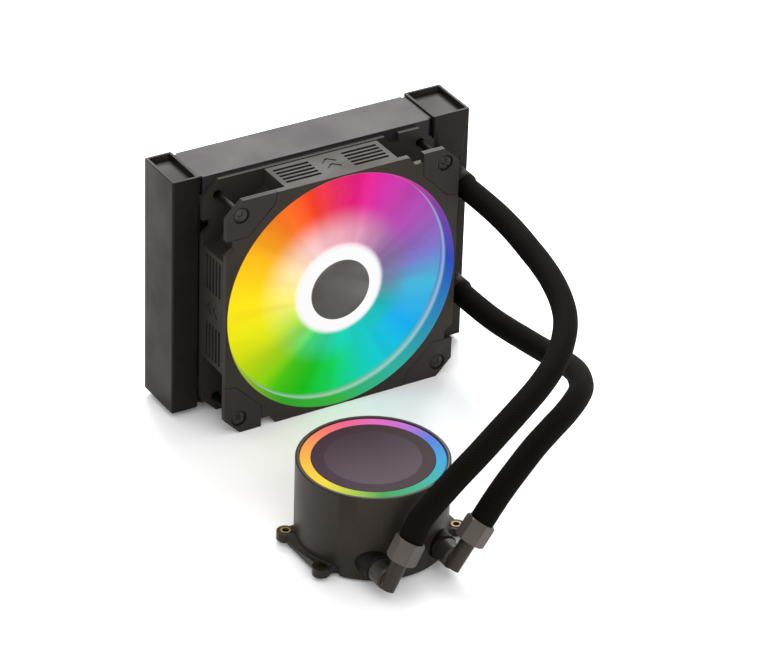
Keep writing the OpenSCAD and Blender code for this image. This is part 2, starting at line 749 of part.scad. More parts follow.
// Moulded base: cold plate pocket below, impeller chamber above, water ways to
// both ports, and a wing with two ears on each side.
module pump_base() {
    color(body_black) difference() {
        union() {
            translate([0, 0, base_z]) cylinder(r = base_r, h = base_h, $fn = 96);
            for (s = [-1, 1]) {
                translate([s > 0 ? 20 : -wing_out, -ear_y, wing_low]) cube([wing_out - 20, 2 * ear_y, wing_h]);
                for (y = [-ear_y, ear_y]) translate([s * ear_x, y, wing_low]) {
                    cylinder(r = ear_r, h = wing_h);
                    translate([s > 0 ? -8 : 0, -2.4, 0]) cube([8, 4.8, wing_h]);
                }
            }
        }
        translate([0, 0, base_z - 1]) cylinder(r = plate_r + seam, h = cold_t - plate_proud + 1, $fn = 96);
        translate([-20, -13.5, base_z]) cube([40, 27, cold_t + 2.4]);
        translate([0, 0, chamber_from]) cylinder(r = chamber_r, h = base_h);
        for (s = [-1, 1]) translate([s * port_half, 0, 0]) {
            translate([0, 0, port_z]) rotate([90, 0, 0]) {
                cylinder(r = bore_r + 0.8, h = pump_r);
                translate([0, 0, collar_from]) cylinder(r = collar_r + snug, h = 20);
                translate([0, 0, collar_from - 3]) cylinder(r = spigot_r + 1.2, h = 20);
            }
            translate([0, -4, s > 0 ? port_z : base_z + 2]) cylinder(r = bore_r, h = 8);
        }
        for (s = [-1, 1], y = [-ear_y, ear_y]) translate([s * ear_x, y, 0])
            cylinder(r = ear_hole_r + 0.9 + snug, h = 20);
        for (k = [0:5]) rotate(60 * k + 30) translate([plate_r - 2.8, 0, 0])
            cylinder(r = 1.1 + snug, h = cold_t + 4.5, $fn = 24);
        cylinder(r = pin_r + snug, h = 20, $fn = 32);
    }
}

// Threaded brass inserts in the four ears.
module lug_inserts() {
    color(brass) for (s = [-1, 1], y = [-ear_y, ear_y]) translate([s * ear_x, y, wing_low])
        ring(ear_hole_r, ear_hole_r + 0.9, wing_h + 0.3);
}

// Copper plate with fine upright fins; its lower face meets the processor.
module cold_plate() {
    pitch = 24 / micro_n;
    color(copper) difference() {
        union() {
            rotate_extrude($fn = 96) polygon([[0, 0], [plate_r - 0.4, 0], [plate_r, 0.4],
                [plate_r, cold_t - snug], [0, cold_t - snug]]);
            for (i = [0:micro_n - 1]) translate([-12 + i * pitch, -12, cold_t - 1]) cube([pitch / 2, 24, 3]);
        }
        for (k = [0:5]) rotate(60 * k + 30) translate([plate_r - 2.8, 0, -1]) {
            cylinder(r = 1.35, h = cold_t + 2, $fn = 24);
            cylinder(r = 2.5, h = 2, $fn = 32);
        }
    }
}

// Square seal round the fins, held between the plate and the base.
module plate_gasket() {
    color(rubber_grey) translate([0, 0, cold_t]) difference() {
        translate([-19.5, -13, 0]) cube([39, 26, 1.2]);
        translate([-17.5, -12.3, -1]) cube([35, 24.6, 4]);
    }
}

module plate_screws() {
    color(steel) for (k = [0:5]) rotate(60 * k + 30) translate([plate_r - 2.8, 0, 0]) difference() {
        union() {
            translate([0, 0, 0.2]) cylinder(r = 2.2, h = 0.8 - snug, $fn = 32);
            translate([0, 0, 0.5]) cylinder(r = 1.1, h = cold_t + 3, $fn = 24);
        }
        for (a = [0, 90]) rotate(a) translate([-1.3, -0.3, -0.1]) cube([2.6, 0.6, 0.7]);
    }
}

// Lid of the wet chamber, with a thin can that the stator sits on.
module chamber_lid() {
    z = base_z + base_h;
    color(frame_black) difference() {
        union() {
            translate([0, 0, z]) cylinder(r = lid_r, h = lid_t);
            translate([0, 0, z]) cylinder(r = can_r, h = can_h);
        }
        translate([0, 0, z - 1]) cylinder(r = can_r - 1, h = can_h);
        translate([0, 0, z - 1]) cylinder(r = pin_r + snug, h = can_h - 0.2 + snug, $fn = 32);
    }
}

module pump_shaft() {
    low = chamber_from - 3;
    color(steel) translate([0, 0, low]) cylinder(r = pin_r, h = base_z + base_h + can_h - 1.2 - low, $fn = 32);
}

// Ring of wound poles round the can.
module pump_stator() {
    color(copper) translate([0, 0, base_z + base_h + lid_t]) difference() {
        union() {
            ring(can_r + snug, can_r + spool_w, spool_h);
            for (k = [0:5]) rotate(60 * k) {
                translate([can_r + spool_w * 0.8, -spool_b / 2, 0]) cube([spool_l, spool_b, spool_h * 1.1]);
                translate([can_r + spool_l + spool_w / 3, -spool_b * 0.75, spool_h * 0.1])
                    cube([shoe_t, spool_b * 1.5, spool_h * 0.9]);
            }
        }
        translate([0, 0, -eps]) cylinder(r = can_r + snug, h = 2 * spool_h);
    }
}

module pump_board() {
    z = pump_board_z;
    color(board_green) {
        translate([0, 0, z]) cylinder(r = pump_board_r, h = board_t);
        for (k = [0:2]) rotate(120 * k + 30) translate([pump_board_r - post_in, 0, base_z + base_h + lid_t])
            cylinder(r = post_r, h = z - base_z - base_h - lid_t + eps, $fn = 24);
    }
}

module led_board() {
    color(board_green) {
        difference() {
            translate([0, 0, led_z]) cylinder(r = shell_in - seam, h = board_t);
            translate([0, 0, led_z - 1]) cylinder(r = 5, h = board_t + 2);
        }
        for (k = [0:11]) rotate(30 * k) translate([shell_in - 3.8, -1, led_z + board_t - eps])
            cube([2, 2, 0.7]);
    }
}

// Frosted ring that the lights shine through, standing on two thin feet.
module light_ring() {
    z = led_z + board_t;
    r_out = shell_in - seam / 2;
    r_in = r_out - ring_w;
    color(milky) rotate_extrude($fn = 128) polygon([
        [r_in, z], [r_in + 0.8, z], [r_in + 0.8, ring_top - 1.4], [r_out - 0.8, ring_top - 1.4],
        [r_out - 0.8, z], [r_out, z], [r_out, ring_top - 0.3], [r_out - 0.3, ring_top], [r_in, ring_top]]);
}

// Dark glossy disc inside the light ring.
module top_disc() {
    r = shell_in - seam / 2 - ring_w - seam / 2;
    z = led_z + board_t;
    color(body_black) rotate_extrude($fn = 128) polygon([
        [0, ring_top - 1.6], [r - 3, ring_top - 1.6], [r - 3, z], [r - 1.5, z], [r - 1.5, ring_top - 1.6],
        [r, ring_top - 1.6], [r, ring_top - 0.2], [r - 0.2, ring_top], [0, ring_top]]);
}

// Fixed collar screwed into the base; the elbow's spigot turns in it.
module port_collar(s) {
    color(body_black) translate([s * port_half, 0, port_z]) rotate([90, 0, 0]) translate([0, 0, collar_from])
        difference() {
            union() {
                cylinder(r = collar_r, h = collar_to - collar_from - collar_edge);
                translate([0, 0, collar_to - collar_from - collar_edge - eps])
                    cylinder(r1 = collar_r, r2 = collar_r - collar_edge, h = collar_edge + eps);
            }
            translate([0, 0, -1]) cylinder(r = spigot_r + run_gap, h = 20);
        }
}

module left_port_collar() { port_collar(-1); }
module right_port_collar() { port_collar(1); }

// Round seals behind the collars.
module port_seals() {
    color(rubber_grey) for (s = [-1, 1]) translate([s * port_half, -collar_from + 2, port_z])
        rotate([90, 0, 0]) rotate_extrude() translate([spigot_r + 0.3, 1]) circle(r = 0.8, $fn = 24);
}

module pump_impeller() {
    vane_n = 7;
    wheel_r = chamber_r - 2;
    color(milky) translate([0, 0, chamber_from + 0.7]) difference() {
        union() {
            cylinder(r = wheel_r, h = wheel_t);
            cylinder(r = wheel_hub_r, h = wheel_h);
            for (k = [0:vane_n - 1]) rotate(360 / vane_n * k) intersection() {
                translate([vane_out, 0, 0]) ring(vane_r - vane_t, vane_r, vane_h);
                translate([pin_r, 0, 0]) cube([chamber_r, chamber_r, wheel_h]);
                cylinder(r = wheel_r - seam, h = wheel_h);
            }
        }
        translate([0, 0, -1]) cylinder(r = pin_r + run_gap, h = 20, $fn = 32);
    }
}

module impeller_magnet() {
    color(metal_grey) translate([0, 0, chamber_from + 0.7 + wheel_h])
        ring(pin_r + run_gap + 0.6, can_r - 1 - turn_gap,
             base_z + base_h + can_h - 1 - chamber_from - wheel_h - wheel_t);
}

// Swivel elbow: a spigot and a thick collar along the port, and a slim pipe
// across them, closed at its foot.
module elbow(s, lean) {
    color(body_black) translate([s * port_half, -elbow_y, port_z]) rotate([0, lean, 0]) {
        reach = elbow_y - collar_to - turn_gap;
        difference() {
            union() {
                translate([0, 0, -elbow_foot])
                    cylinder(r = elbow_r, h = elbow_foot + ferrule_from + ferrule_l - pipe_in);
                rotate([-90, 0, 0]) {
                    translate([0, 0, swivel_from])
                        cylinder(r1 = swivel_r - collar_edge, r2 = swivel_r, h = collar_edge + eps);
                    translate([0, 0, swivel_from + collar_edge])
                        cylinder(r = swivel_r, h = reach - swivel_from - collar_edge);
                    cylinder(r = spigot_r, h = elbow_y - spigot_to);
                }
            }
            rotate([-90, 0, 0]) cylinder(r = bore_r, h = elbow_y);
            cylinder(r = bore_r, h = 40);
        }
    }
}

module left_elbow() { elbow(-1, left_lean); }
module right_elbow() { elbow(1, right_lean); }

// Six-sided crimped ferrule with broken edges.
module hex_ferrule(s, lean) {
    corner = ferrule_af / 2 / cos(30);
    color(metal_grey) translate([s * port_half, -elbow_y, port_z]) rotate([0, lean, 0])
        translate([0, 0, ferrule_from]) difference() {
            intersection() {
                rotate(15) cylinder(r = corner, h = ferrule_l, $fn = 6);
                rotate_extrude() polygon([[0, 0], [corner - 0.7, 0], [corner + 0.2, 0.9],
                    [corner + 0.2, ferrule_l - 0.9], [corner - 0.7, ferrule_l], [0, ferrule_l]]);
            }
            translate([0, 0, -1]) cylinder(r = elbow_r + snug, h = ferrule_l + 2);
        }
}

module left_ferrule() { hex_ferrule(-1, left_lean); }
module right_ferrule() { hex_ferrule(1, right_lean); }

return_tank();
port_tank();
return_header();
port_header();
core_tubes();
core_fins();
top_side_plate();
bottom_side_plate();
upper_barb();
lower_barb();
upper_ferrule();
lower_ferrule();
upper_hose();
lower_hose();
fan_frame();
corner_pad_1();
corner_pad_2();
corner_pad_3();
corner_pad_4();
fan_screws();
fan_bearing();
fan_stator();
fan_board();
fan_impeller();
fan_hub_cap();
fan_magnet();
fan_shaft();
pump_housing();
pump_base();
lug_inserts();
cold_plate();
plate_gasket();
plate_screws();
chamber_lid();
pump_shaft();
pump_stator();
pump_board();
led_board();
light_ring();
top_disc();
left_port_collar();
right_port_collar();
port_seals();
pump_impeller();
impeller_magnet();
left_elbow();
left_ferrule();
right_elbow();
right_ferrule();
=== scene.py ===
import json
import math

import bmesh
import bpy
from mathutils import Matrix, Vector


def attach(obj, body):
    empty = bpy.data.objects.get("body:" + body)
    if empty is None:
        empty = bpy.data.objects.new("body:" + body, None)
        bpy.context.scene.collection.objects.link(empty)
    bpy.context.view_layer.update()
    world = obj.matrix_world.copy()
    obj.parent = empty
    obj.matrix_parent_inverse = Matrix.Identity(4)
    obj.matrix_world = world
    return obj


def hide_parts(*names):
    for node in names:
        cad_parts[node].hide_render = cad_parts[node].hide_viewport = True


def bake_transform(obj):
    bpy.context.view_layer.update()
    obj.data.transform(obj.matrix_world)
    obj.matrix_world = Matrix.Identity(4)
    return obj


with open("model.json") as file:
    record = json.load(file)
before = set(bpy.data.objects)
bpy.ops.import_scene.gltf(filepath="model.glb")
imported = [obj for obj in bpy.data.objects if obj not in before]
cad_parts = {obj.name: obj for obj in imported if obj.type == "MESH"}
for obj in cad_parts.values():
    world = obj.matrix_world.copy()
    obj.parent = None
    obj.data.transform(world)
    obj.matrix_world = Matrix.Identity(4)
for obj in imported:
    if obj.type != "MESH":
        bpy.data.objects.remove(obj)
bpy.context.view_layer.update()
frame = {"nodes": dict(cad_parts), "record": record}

cadNodes = frame["nodes"]
scene = bpy.context.scene
scene.view_settings.view_transform = "Standard"
mm = 0.001
print("frame loaded:", len(cadNodes), "nodes")


# Camera

cameraSizes = {
    "spot": (-0.7958, -1.2909, 1.0115),
    "turn": -31.852,  # degrees round the upright axis, 0 looks along +Y
    "tilt": 30.862,  # degrees down from level
    "roll": 2.006,
    "lens": 192.7,
}


def placeCamera(sizes):
    turn, tilt, roll = (math.radians(sizes[k]) for k in ("turn", "tilt", "roll"))
    back = Vector((math.sin(turn) * math.cos(tilt), -math.cos(turn) * math.cos(tilt), math.sin(tilt)))
    right = Vector((math.cos(turn), math.sin(turn), 0))
    down = right.cross(back)
    side = math.cos(roll) * right - math.sin(roll) * down
    up = -(math.sin(roll) * right + math.cos(roll) * down)
    data = bpy.data.cameras.new("photoView")
    data.lens = sizes["lens"]
    data.sensor_width = 36
    data.clip_start = 0.05
    camera = bpy.data.objects.new("photoView", data)
    scene.collection.objects.link(camera)
    camera.matrix_world = Matrix.Translation(sizes["spot"]) @ Matrix((side, up, back)).transposed().to_4x4()
    scene.camera = camera


placeCamera(cameraSizes)
print("camera placed")


# Node helpers

def addNode(tree, kind, place=(0, 0), **values):
    node = tree.nodes.new(kind)
    node.location = place
    for key, value in values.items():
        setattr(node, key, value)
    return node


def feed(tree, source, socket):
    if hasattr(source, "is_output"):
        tree.links.new(source, socket)
    elif source is not None:
        socket.default_value = source


def math2(tree, operation, a, b=None, c=None):
    node = addNode(tree, "ShaderNodeMath", operation=operation)
    for value, socket in zip((a, b, c), node.inputs):
        feed(tree, value, socket)
    return node.outputs[0]


def mixColour(tree, factor, a, b, blend="MIX"):
    node = addNode(tree, "ShaderNodeMix", data_type="RGBA", blend_type=blend)
    for value, name in ((factor, 0), (a, 6), (b, 7)):
        feed(tree, value, node.inputs[name])
    return node.outputs[2]


def spread(tree, value, low, high, outLow=0.0, outHigh=1.0, smooth=False):
    node = addNode(tree, "ShaderNodeMapRange", interpolation_type="SMOOTHSTEP" if smooth else "LINEAR")
    for item, socket in zip((value, low, high, outLow, outHigh), node.inputs):
        feed(tree, item, socket)
    return node.outputs[0]


def newGroup(name, inputs, outputs):
    tree = bpy.data.node_groups.new(name, "ShaderNodeTree")
    for label, kind, start in inputs:
        socket = tree.interface.new_socket(label, in_out="INPUT", socket_type=kind)
        if start is not None:
            socket.default_value = start
    for label, kind in outputs:
        tree.interface.new_socket(label, in_out="OUTPUT", socket_type=kind)
    return tree, addNode(tree, "NodeGroupInput", (-900, 0)), addNode(tree, "NodeGroupOutput", (900, 0))


def useGroup(tree, group, **values):
    node = addNode(tree, "ShaderNodeGroup", node_tree=group)
    for label, value in values.items():
        feed(tree, value, node.inputs[label])
    return node.outputs


def newMaterial(name, **constants):
    material = bpy.data.materials.new(name)
    material.use_nodes = True
    tree = material.node_tree
    tree.nodes.clear()
    out = addNode(tree, "ShaderNodeOutputMaterial", (1200, 0))
    shader = addNode(tree, "ShaderNodeBsdfPrincipled", (900, 0))
    tree.links.new(shader.outputs[0], out.inputs[0])
    for label, value in constants.items():
        shader.inputs[label].default_value = value
    return material, tree, shader.inputs


def bumpFrom(tree, height, inputs, distance, strength=1.0):
    node = addNode(tree, "ShaderNodeBump")
    node.inputs["Strength"].default_value = strength
    node.inputs["Distance"].default_value = distance
    tree.links.new(height, node.inputs["Height"])
    tree.links.new(node.outputs[0], inputs["Normal"])


def srgb(r, g, b):
    return tuple((v / 255 / 12.92 if v < 10.3 else ((v / 255 + 0.055) / 1.055) ** 2.4) for v in (r, g, b)) + (1.0,)


# Shared surface effects

def buildGrain():
    tree, given, out = newGroup(
        "mouldedGrain",
        [("Tone", "NodeSocketColor", (0.05, 0.05, 0.05, 1)), ("Shade", "NodeSocketColor", (0.03, 0.03, 0.03, 1)),
         ("Grain", "NodeSocketFloat", 2500.0), ("Cloud", "NodeSocketFloat", 40.0),
         ("RoughLow", "NodeSocketFloat", 0.4), ("RoughHigh", "NodeSocketFloat", 0.55)],
        [("Colour", "NodeSocketColor"), ("Roughness", "NodeSocketFloat"), ("Height", "NodeSocketFloat")])
    place = addNode(tree, "ShaderNodeTexCoord").outputs["Object"]
    fine = addNode(tree, "ShaderNodeTexNoise")
    fine.inputs["Detail"].default_value = 3
    cloud = addNode(tree, "ShaderNodeTexNoise")
    cloud.inputs["Detail"].default_value = 4
    for node, label in ((fine, "Grain"), (cloud, "Cloud")):
        tree.links.new(place, node.inputs["Vector"])
        tree.links.new(given.outputs[label], node.inputs["Scale"])
    patch = spread(tree, cloud.outputs["Fac"], 0.35, 0.65)
    speck = spread(tree, fine.outputs["Fac"], 0.3, 0.7)
    blend = math2(tree, "MULTIPLY_ADD", speck, 0.35, math2(tree, "MULTIPLY", patch, 0.65))
    tree.links.new(mixColour(tree, blend, given.outputs["Shade"], given.outputs["Tone"]), out.inputs["Colour"])
    rough = spread(tree, patch, 0.0, 1.0, given.outputs["RoughLow"], given.outputs["RoughHigh"])
    tree.links.new(rough, out.inputs["Roughness"])
    tree.links.new(fine.outputs["Fac"], out.inputs["Height"])
    return tree


def buildWheel(name, stops):
    tree, given, out = newGroup(
        name, [("Across", "NodeSocketFloat", 0.0), ("Up", "NodeSocketFloat", 0.0)], [("Colour", "NodeSocketColor")])
    angle = math2(tree, "ARCTAN2", given.outputs["Up"], given.outputs["Across"])
    turn = math2(tree, "WRAP", math2(tree, "DIVIDE", angle, math.tau), 1.0, 0.0)
    ramp = addNode(tree, "ShaderNodeValToRGB")
    tree.links.new(turn, ramp.inputs[0])
    ordered = sorted(stops.items())
    elements = ramp.color_ramp.elements
    first, last = ordered[0], ordered[-1]
    part = (360 - last[0]) / (360 - last[0] + first[0])
    join = tuple(last[1][i] * (1 - part) + first[1][i] * part for i in range(3))
    elements[0].position, elements[0].color = 0.0, srgb(*join)
    elements[1].position, elements[1].color = 1.0, srgb(*join)
    for degrees, colour in ordered:
        elements.new(degrees / 360).color = srgb(*colour)
    tree.links.new(ramp.outputs[0], out.inputs["Colour"])
    return tree


def buildBraid():
    tree, given, out = newGroup(
        "braidWeave",
        [("Strands", "NodeSocketFloat", 20.0), ("Light", "NodeSocketColor", (0.03, 0.03, 0.03, 1)),
         ("Dark", "NodeSocketColor", (0.004, 0.004, 0.004, 1))],
        [("Colour", "NodeSocketColor"), ("Height", "NodeSocketFloat")])
    along = addNode(tree, "ShaderNodeSeparateXYZ")
    tree.links.new(addNode(tree, "ShaderNodeUVMap").outputs[0], along.inputs[0])
    count = given.outputs["Strands"]
    one = math2(tree, "MULTIPLY", math2(tree, "ADD", along.outputs[0], along.outputs[1]), count)
    two = math2(tree, "MULTIPLY", math2(tree, "SUBTRACT", along.outputs[0], along.outputs[1]), count)
    swap = math2(tree, "PINGPONG", math2(tree, "ADD", math2(tree, "FLOOR", one), math2(tree, "FLOOR", two)), 1.0)

    def strand(value, other, on):
        across = math2(tree, "SUBTRACT", math2(tree, "FRACT", value), 0.5)
        crown = math2(tree, "SUBTRACT", 1.0, math2(tree, "MULTIPLY", math2(tree, "MULTIPLY", across, across), 4.0))
        lay = math2(tree, "ABSOLUTE", math2(tree, "SUBTRACT", math2(tree, "FRACT", other), 0.5))
        arch = math2(tree, "MULTIPLY_ADD", lay, -0.9, 1.0)
        yarn = math2(tree, "SINE", math2(tree, "MULTIPLY", value, math.tau * 5))
        body = math2(tree, "MULTIPLY_ADD", yarn, 0.12, math2(tree, "MULTIPLY", crown, arch))
        return math2(tree, "MULTIPLY", body, math2(tree, "MULTIPLY_ADD", on, 0.55, 0.45))

    # The colour follows the yarn height: painted highlight on the crowns, painted shade in the hollows
    high = math2(tree, "MAXIMUM", strand(one, two, swap), strand(two, one, math2(tree, "SUBTRACT", 1.0, swap)))
    tree.links.new(mixColour(tree, spread(tree, high, 0.15, 0.95), given.outputs["Dark"], given.outputs["Light"]),
                   out.inputs["Colour"])
    tree.links.new(high, out.inputs["Height"])
    return tree


def buildRotorLight(far, near):
    tree, given, out = newGroup(
        "rotorLight", [("Across", "NodeSocketFloat", 0.0), ("Up", "NodeSocketFloat", 0.0),
                       ("HaloShift", "NodeSocketFloat", 0.0004)], [("Colour", "NodeSocketColor")])
    across, up, shift = (given.outputs[label] for label in ("Across", "Up", "HaloShift"))

    def length(x, y):
        return math2(tree, "SQRT", math2(tree, "ADD", math2(tree, "POWER", x, 2.0), math2(tree, "POWER", y, 2.0)))

    radius = length(across, up)
    outer = useGroup(tree, far, Across=across, Up=up)["Colour"]
    inner = useGroup(tree, near, Across=across, Up=up)["Colour"]
    colour = mixColour(tree, spread(tree, radius, 0.026, 0.042, smooth=True), inner, outer)
    # Painted blade shading: soft radial streaks that darken the light, and lighten it a little in places
    bladeShadeStreak = addNode(tree, "ShaderNodeCombineXYZ")
    for value, socket in zip((across, up), bladeShadeStreak.inputs):
        feed(tree, math2(tree, "MULTIPLY", math2(tree, "DIVIDE", value, radius), 2.2), socket)
    feed(tree, math2(tree, "MULTIPLY", radius, 8.0), bladeShadeStreak.inputs[2])
    bladeShadeNoise = addNode(tree, "ShaderNodeTexNoise")
    bladeShadeNoise.inputs["Scale"].default_value = 1.0
    bladeShadeNoise.inputs["Detail"].default_value = 2
    tree.links.new(bladeShadeStreak.outputs[0], bladeShadeNoise.inputs["Vector"])
    colour = mixColour(tree, 1.0, colour, spread(tree, bladeShadeNoise.outputs["Fac"], 0.35, 0.62, 0.84, 1.04, smooth=True),
                       "MULTIPLY")
    haloRadius = length(math2(tree, "ADD", across, shift), math2(tree, "SUBTRACT", up, shift))
    white = spread(tree, haloRadius, 0.0240, 0.0204, 0.0, 1.0, smooth=True)
    tree.links.new(mixColour(tree, white, colour, (1, 1, 1, 1)), out.inputs["Colour"])
    return tree


grainGroup = buildGrain()
fanWheel = buildWheel("fanLight", {
    5: (120, 115, 195), 30: (170, 75, 180), 60: (210, 45, 165), 78: (238, 10, 130), 105: (252, 60, 30),
    125: (250, 120, 15), 150: (252, 185, 5), 180: (252, 228, 5), 208: (212, 224, 0), 238: (70, 195, 0),
    254: (8, 198, 8), 270: (0, 204, 85), 300: (0, 198, 208), 322: (0, 165, 230), 347: (65, 180, 215)})
hubWheel = buildWheel("hubLight", {
    0: (115, 125, 165), 30: (140, 103, 158), 60: (212, 145, 182), 90: (254, 180, 196), 120: (250, 200, 200),
    150: (251, 227, 170), 180: (248, 236, 110), 210: (170, 223, 70), 240: (60, 216, 120), 270: (5, 207, 172),
    300: (0, 197, 195), 330: (0, 172, 171)})
# Colours, by angle, of the painted reflection of the rotor's light on the frame's duct wall
ductReflectionWheel = buildWheel("ductPaintedReflection", {
    0: (15, 70, 190), 30: (125, 55, 165), 60: (205, 50, 150), 120: (240, 110, 20), 180: (200, 190, 40),
    240: (30, 160, 20), 270: (35, 180, 50), 300: (30, 180, 160), 330: (20, 140, 190)})
ringWheel = buildWheel("ringLight", {
    5: (75, 118, 225), 30: (190, 108, 217), 60: (237, 103, 190), 85: (247, 98, 140), 105: (255, 120, 105),
    140: (255, 170, 65), 165: (252, 200, 40), 195: (250, 225, 20), 222: (170, 205, 25), 247: (8, 160, 50),
    285: (0, 178, 140), 330: (0, 165, 225)})
rotorGroup = buildRotorLight(fanWheel, hubWheel)
braidGroup = buildBraid()
print("shared surface effects built")


# Materials

warmSheen = (1.0, 0.88, 0.80, 1)


def mouldedPlastic(name, tone, shade, roughLow, roughHigh, grain=2500.0, depth=0.00002, sheen=None, **constants):
    material, tree, inputs = newMaterial(name, **constants)
    if sheen is not None:
        inputs["Specular IOR Level"].default_value = sheen
        inputs["Specular Tint"].default_value = warmSheen
    skin = useGroup(tree, grainGroup, Tone=tone, Shade=shade, Grain=grain, RoughLow=roughLow, RoughHigh=roughHigh)
    tree.links.new(skin["Colour"], inputs["Base Color"])
    tree.links.new(skin["Roughness"], inputs["Roughness"])
    bumpFrom(tree, skin["Height"], inputs, depth, 0.6)
    return material, tree, inputs, skin


fanPlace = {"centre": (0.044, 0.060), "back": 0.128, "mouth": 0.0575}


def fanPolar(tree, shiftX=0.0, shiftZ=0.0):
    split = addNode(tree, "ShaderNodeSeparateXYZ")
    tree.links.new(addNode(tree, "ShaderNodeTexCoord").outputs["Object"], split.inputs[0])
    across = math2(tree, "SUBTRACT", split.outputs[0], fanPlace["centre"][0] + shiftX)
    up = math2(tree, "SUBTRACT", split.outputs[2], fanPlace["centre"][1] + shiftZ)
    radius = math2(tree, "SQRT", math2(tree, "ADD", math2(tree, "POWER", across, 2.0), math2(tree, "POWER", up, 2.0)))
    return across, up, radius, split.outputs[1]


def makeFramePlastic():
    material, tree, inputs, skin = mouldedPlastic(
        "framePlastic", (0.028, 0.0230, 0.0190, 1), (0.019, 0.0158, 0.0132, 1), 0.46, 0.6, sheen=0.15)
    across, up, radius, depth = fanPolar(tree)
    # The duct's inner wall in front of the rotor carries a painted reflection of the rotor's coloured light, given as
    # emission
    flare = math2(tree, "MULTIPLY_ADD", math2(tree, "MAXIMUM", math2(tree, "SUBTRACT", 0.108, depth), 0.0), 0.34,
                  fanPlace["mouth"])
    inside = math2(tree, "LESS_THAN", radius, flare)
    front = spread(tree, depth, 0.1240, 0.1200)
    wall = math2(tree, "GREATER_THAN", radius, 0.0568)
    reflectionMask = math2(tree, "MULTIPLY", math2(tree, "MULTIPLY", inside, front), wall)
    paintedReflection = useGroup(tree, ductReflectionWheel, Across=across, Up=up)["Colour"]
    # A thin pale blue ring across the duct wall is a painted highlight
    rise = spread(tree, depth, 0.1070, 0.1088, smooth=True)
    fall = spread(tree, depth, 0.1090, 0.1112, 1.0, 0.35, smooth=True)
    line = math2(tree, "MULTIPLY", math2(tree, "MULTIPLY", rise, fall), 0.4)
    paintedReflection = mixColour(tree, line, paintedReflection, (0.75, 0.95, 1, 1))
    tree.links.new(mixColour(tree, reflectionMask, (0, 0, 0, 1), paintedReflection), inputs["Emission Color"])
    inputs["Emission Strength"].default_value = 0.9
    return material


def makeRotorLight(name, alpha, strength):
    material, tree, inputs = newMaterial(name, **{"Roughness": 0.5, "Specular IOR Level": 0.05, "Alpha": alpha,
                                                  "Emission Strength": strength})
    across, up, _, _ = fanPolar(tree)
    lit = useGroup(tree, rotorGroup, Across=across, Up=up)["Colour"]
    tree.links.new(lit, inputs["Emission Color"])
    tree.links.new(mixColour(tree, 0.97, lit, (0.008, 0.008, 0.008, 1)), inputs["Base Color"])
    return material


def makeRingLight():
    material, tree, inputs = newMaterial("ringGlow", **{"Roughness": 0.5, "Emission Strength": 0.9, "Specular IOR Level": 0.08})
    split = addNode(tree, "ShaderNodeSeparateXYZ")
    tree.links.new(addNode(tree, "ShaderNodeTexCoord").outputs["Object"], split.inputs[0])
    colour = useGroup(tree, ringWheel, Across=split.outputs[0], Up=split.outputs[1])["Colour"]
    tree.links.new(colour, inputs["Emission Color"])
    tree.links.new(mixColour(tree, 0.99, colour, (0.004, 0.004, 0.004, 1)), inputs["Base Color"])
    return material


def makeDiscGloss():
    material, tree, inputs = newMaterial("discGloss", **{"Specular IOR Level": 0.06})
    split = addNode(tree, "ShaderNodeSeparateXYZ")
    tree.links.new(addNode(tree, "ShaderNodeTexCoord").outputs["Object"], split.inputs[0])
    radius = math2(tree, "SQRT", math2(tree, "ADD", math2(tree, "POWER", split.outputs[0], 2.0),
                                       math2(tree, "POWER", split.outputs[1], 2.0)))
    inner = spread(tree, radius, 0.0214, 0.0208, 0.0, 1.0, smooth=True)
    skin = useGroup(tree, grainGroup, Tone=(0.034, 0.014, 0.024, 1), Shade=(0.026, 0.011, 0.019, 1), Cloud=25.0)
    # Painted shade: the disc's middle is darker towards the back-right and lighter towards the front-left
    paintedBackShade = spread(tree, math2(tree, "ADD", split.outputs[0], split.outputs[1]), -0.02, 0.02)
    middle = mixColour(tree, paintedBackShade, skin["Colour"], (0.020, 0.009, 0.016, 1))
    # The rim's own dark tone carries a painted reflection of the light ring's glow: purple at the left, red at the
    # right
    rimPaintedReflection = mixColour(tree, spread(tree, split.outputs[0], -0.025, 0.02), (0.022, 0.007, 0.018, 1),
                    (0.022, 0.010, 0.010, 1))
    tree.links.new(mixColour(tree, inner, rimPaintedReflection, middle), inputs["Base Color"])
    tree.links.new(spread(tree, inner, 0.0, 1.0, 0.5, 0.36), inputs["Roughness"])
    return material


def makeSleeve():
    material, tree, inputs = newMaterial("braidedSleeve", **{"Roughness": 0.75, "Specular IOR Level": 0.03})
    # Light is the painted highlight on the yarn crowns, Dark the painted shade between them
    weave = useGroup(tree, braidGroup, Strands=20.0, Light=(0.0062, 0.0052, 0.0038, 1), Dark=(0.0018, 0.0015, 0.001, 1))
    tree.links.new(weave["Colour"], inputs["Base Color"])
    bumpFrom(tree, weave["Height"], inputs, 0.00035, 0.8)
    return material


def makeCopperFace():
    material, tree, inputs = newMaterial("turnedCopper", **{"Metallic": 1.0})
    split = addNode(tree, "ShaderNodeSeparateXYZ")
    tree.links.new(addNode(tree, "ShaderNodeTexCoord").outputs["Object"], split.inputs[0])
    radius = math2(tree, "SQRT", math2(tree, "ADD", math2(tree, "POWER", split.outputs[0], 2.0),
                                       math2(tree, "POWER", split.outputs[1], 2.0)))
    groove = math2(tree, "SINE", math2(tree, "MULTIPLY", radius, 18000.0))
    skin = useGroup(tree, grainGroup, Tone=(0.80, 0.40, 0.26, 1), Shade=(0.62, 0.29, 0.18, 1),
                    RoughLow=0.22, RoughHigh=0.36)
    tree.links.new(skin["Colour"], inputs["Base Color"])
    tree.links.new(skin["Roughness"], inputs["Roughness"])
    bumpFrom(tree, groove, inputs, 0.000012, 0.5)
    return material


def metal(name, tone, shade, roughLow, roughHigh, grain=3000.0):
    return mouldedPlastic(name, tone, shade, roughLow, roughHigh, grain, 0.00001, Metallic=1.0)[0]


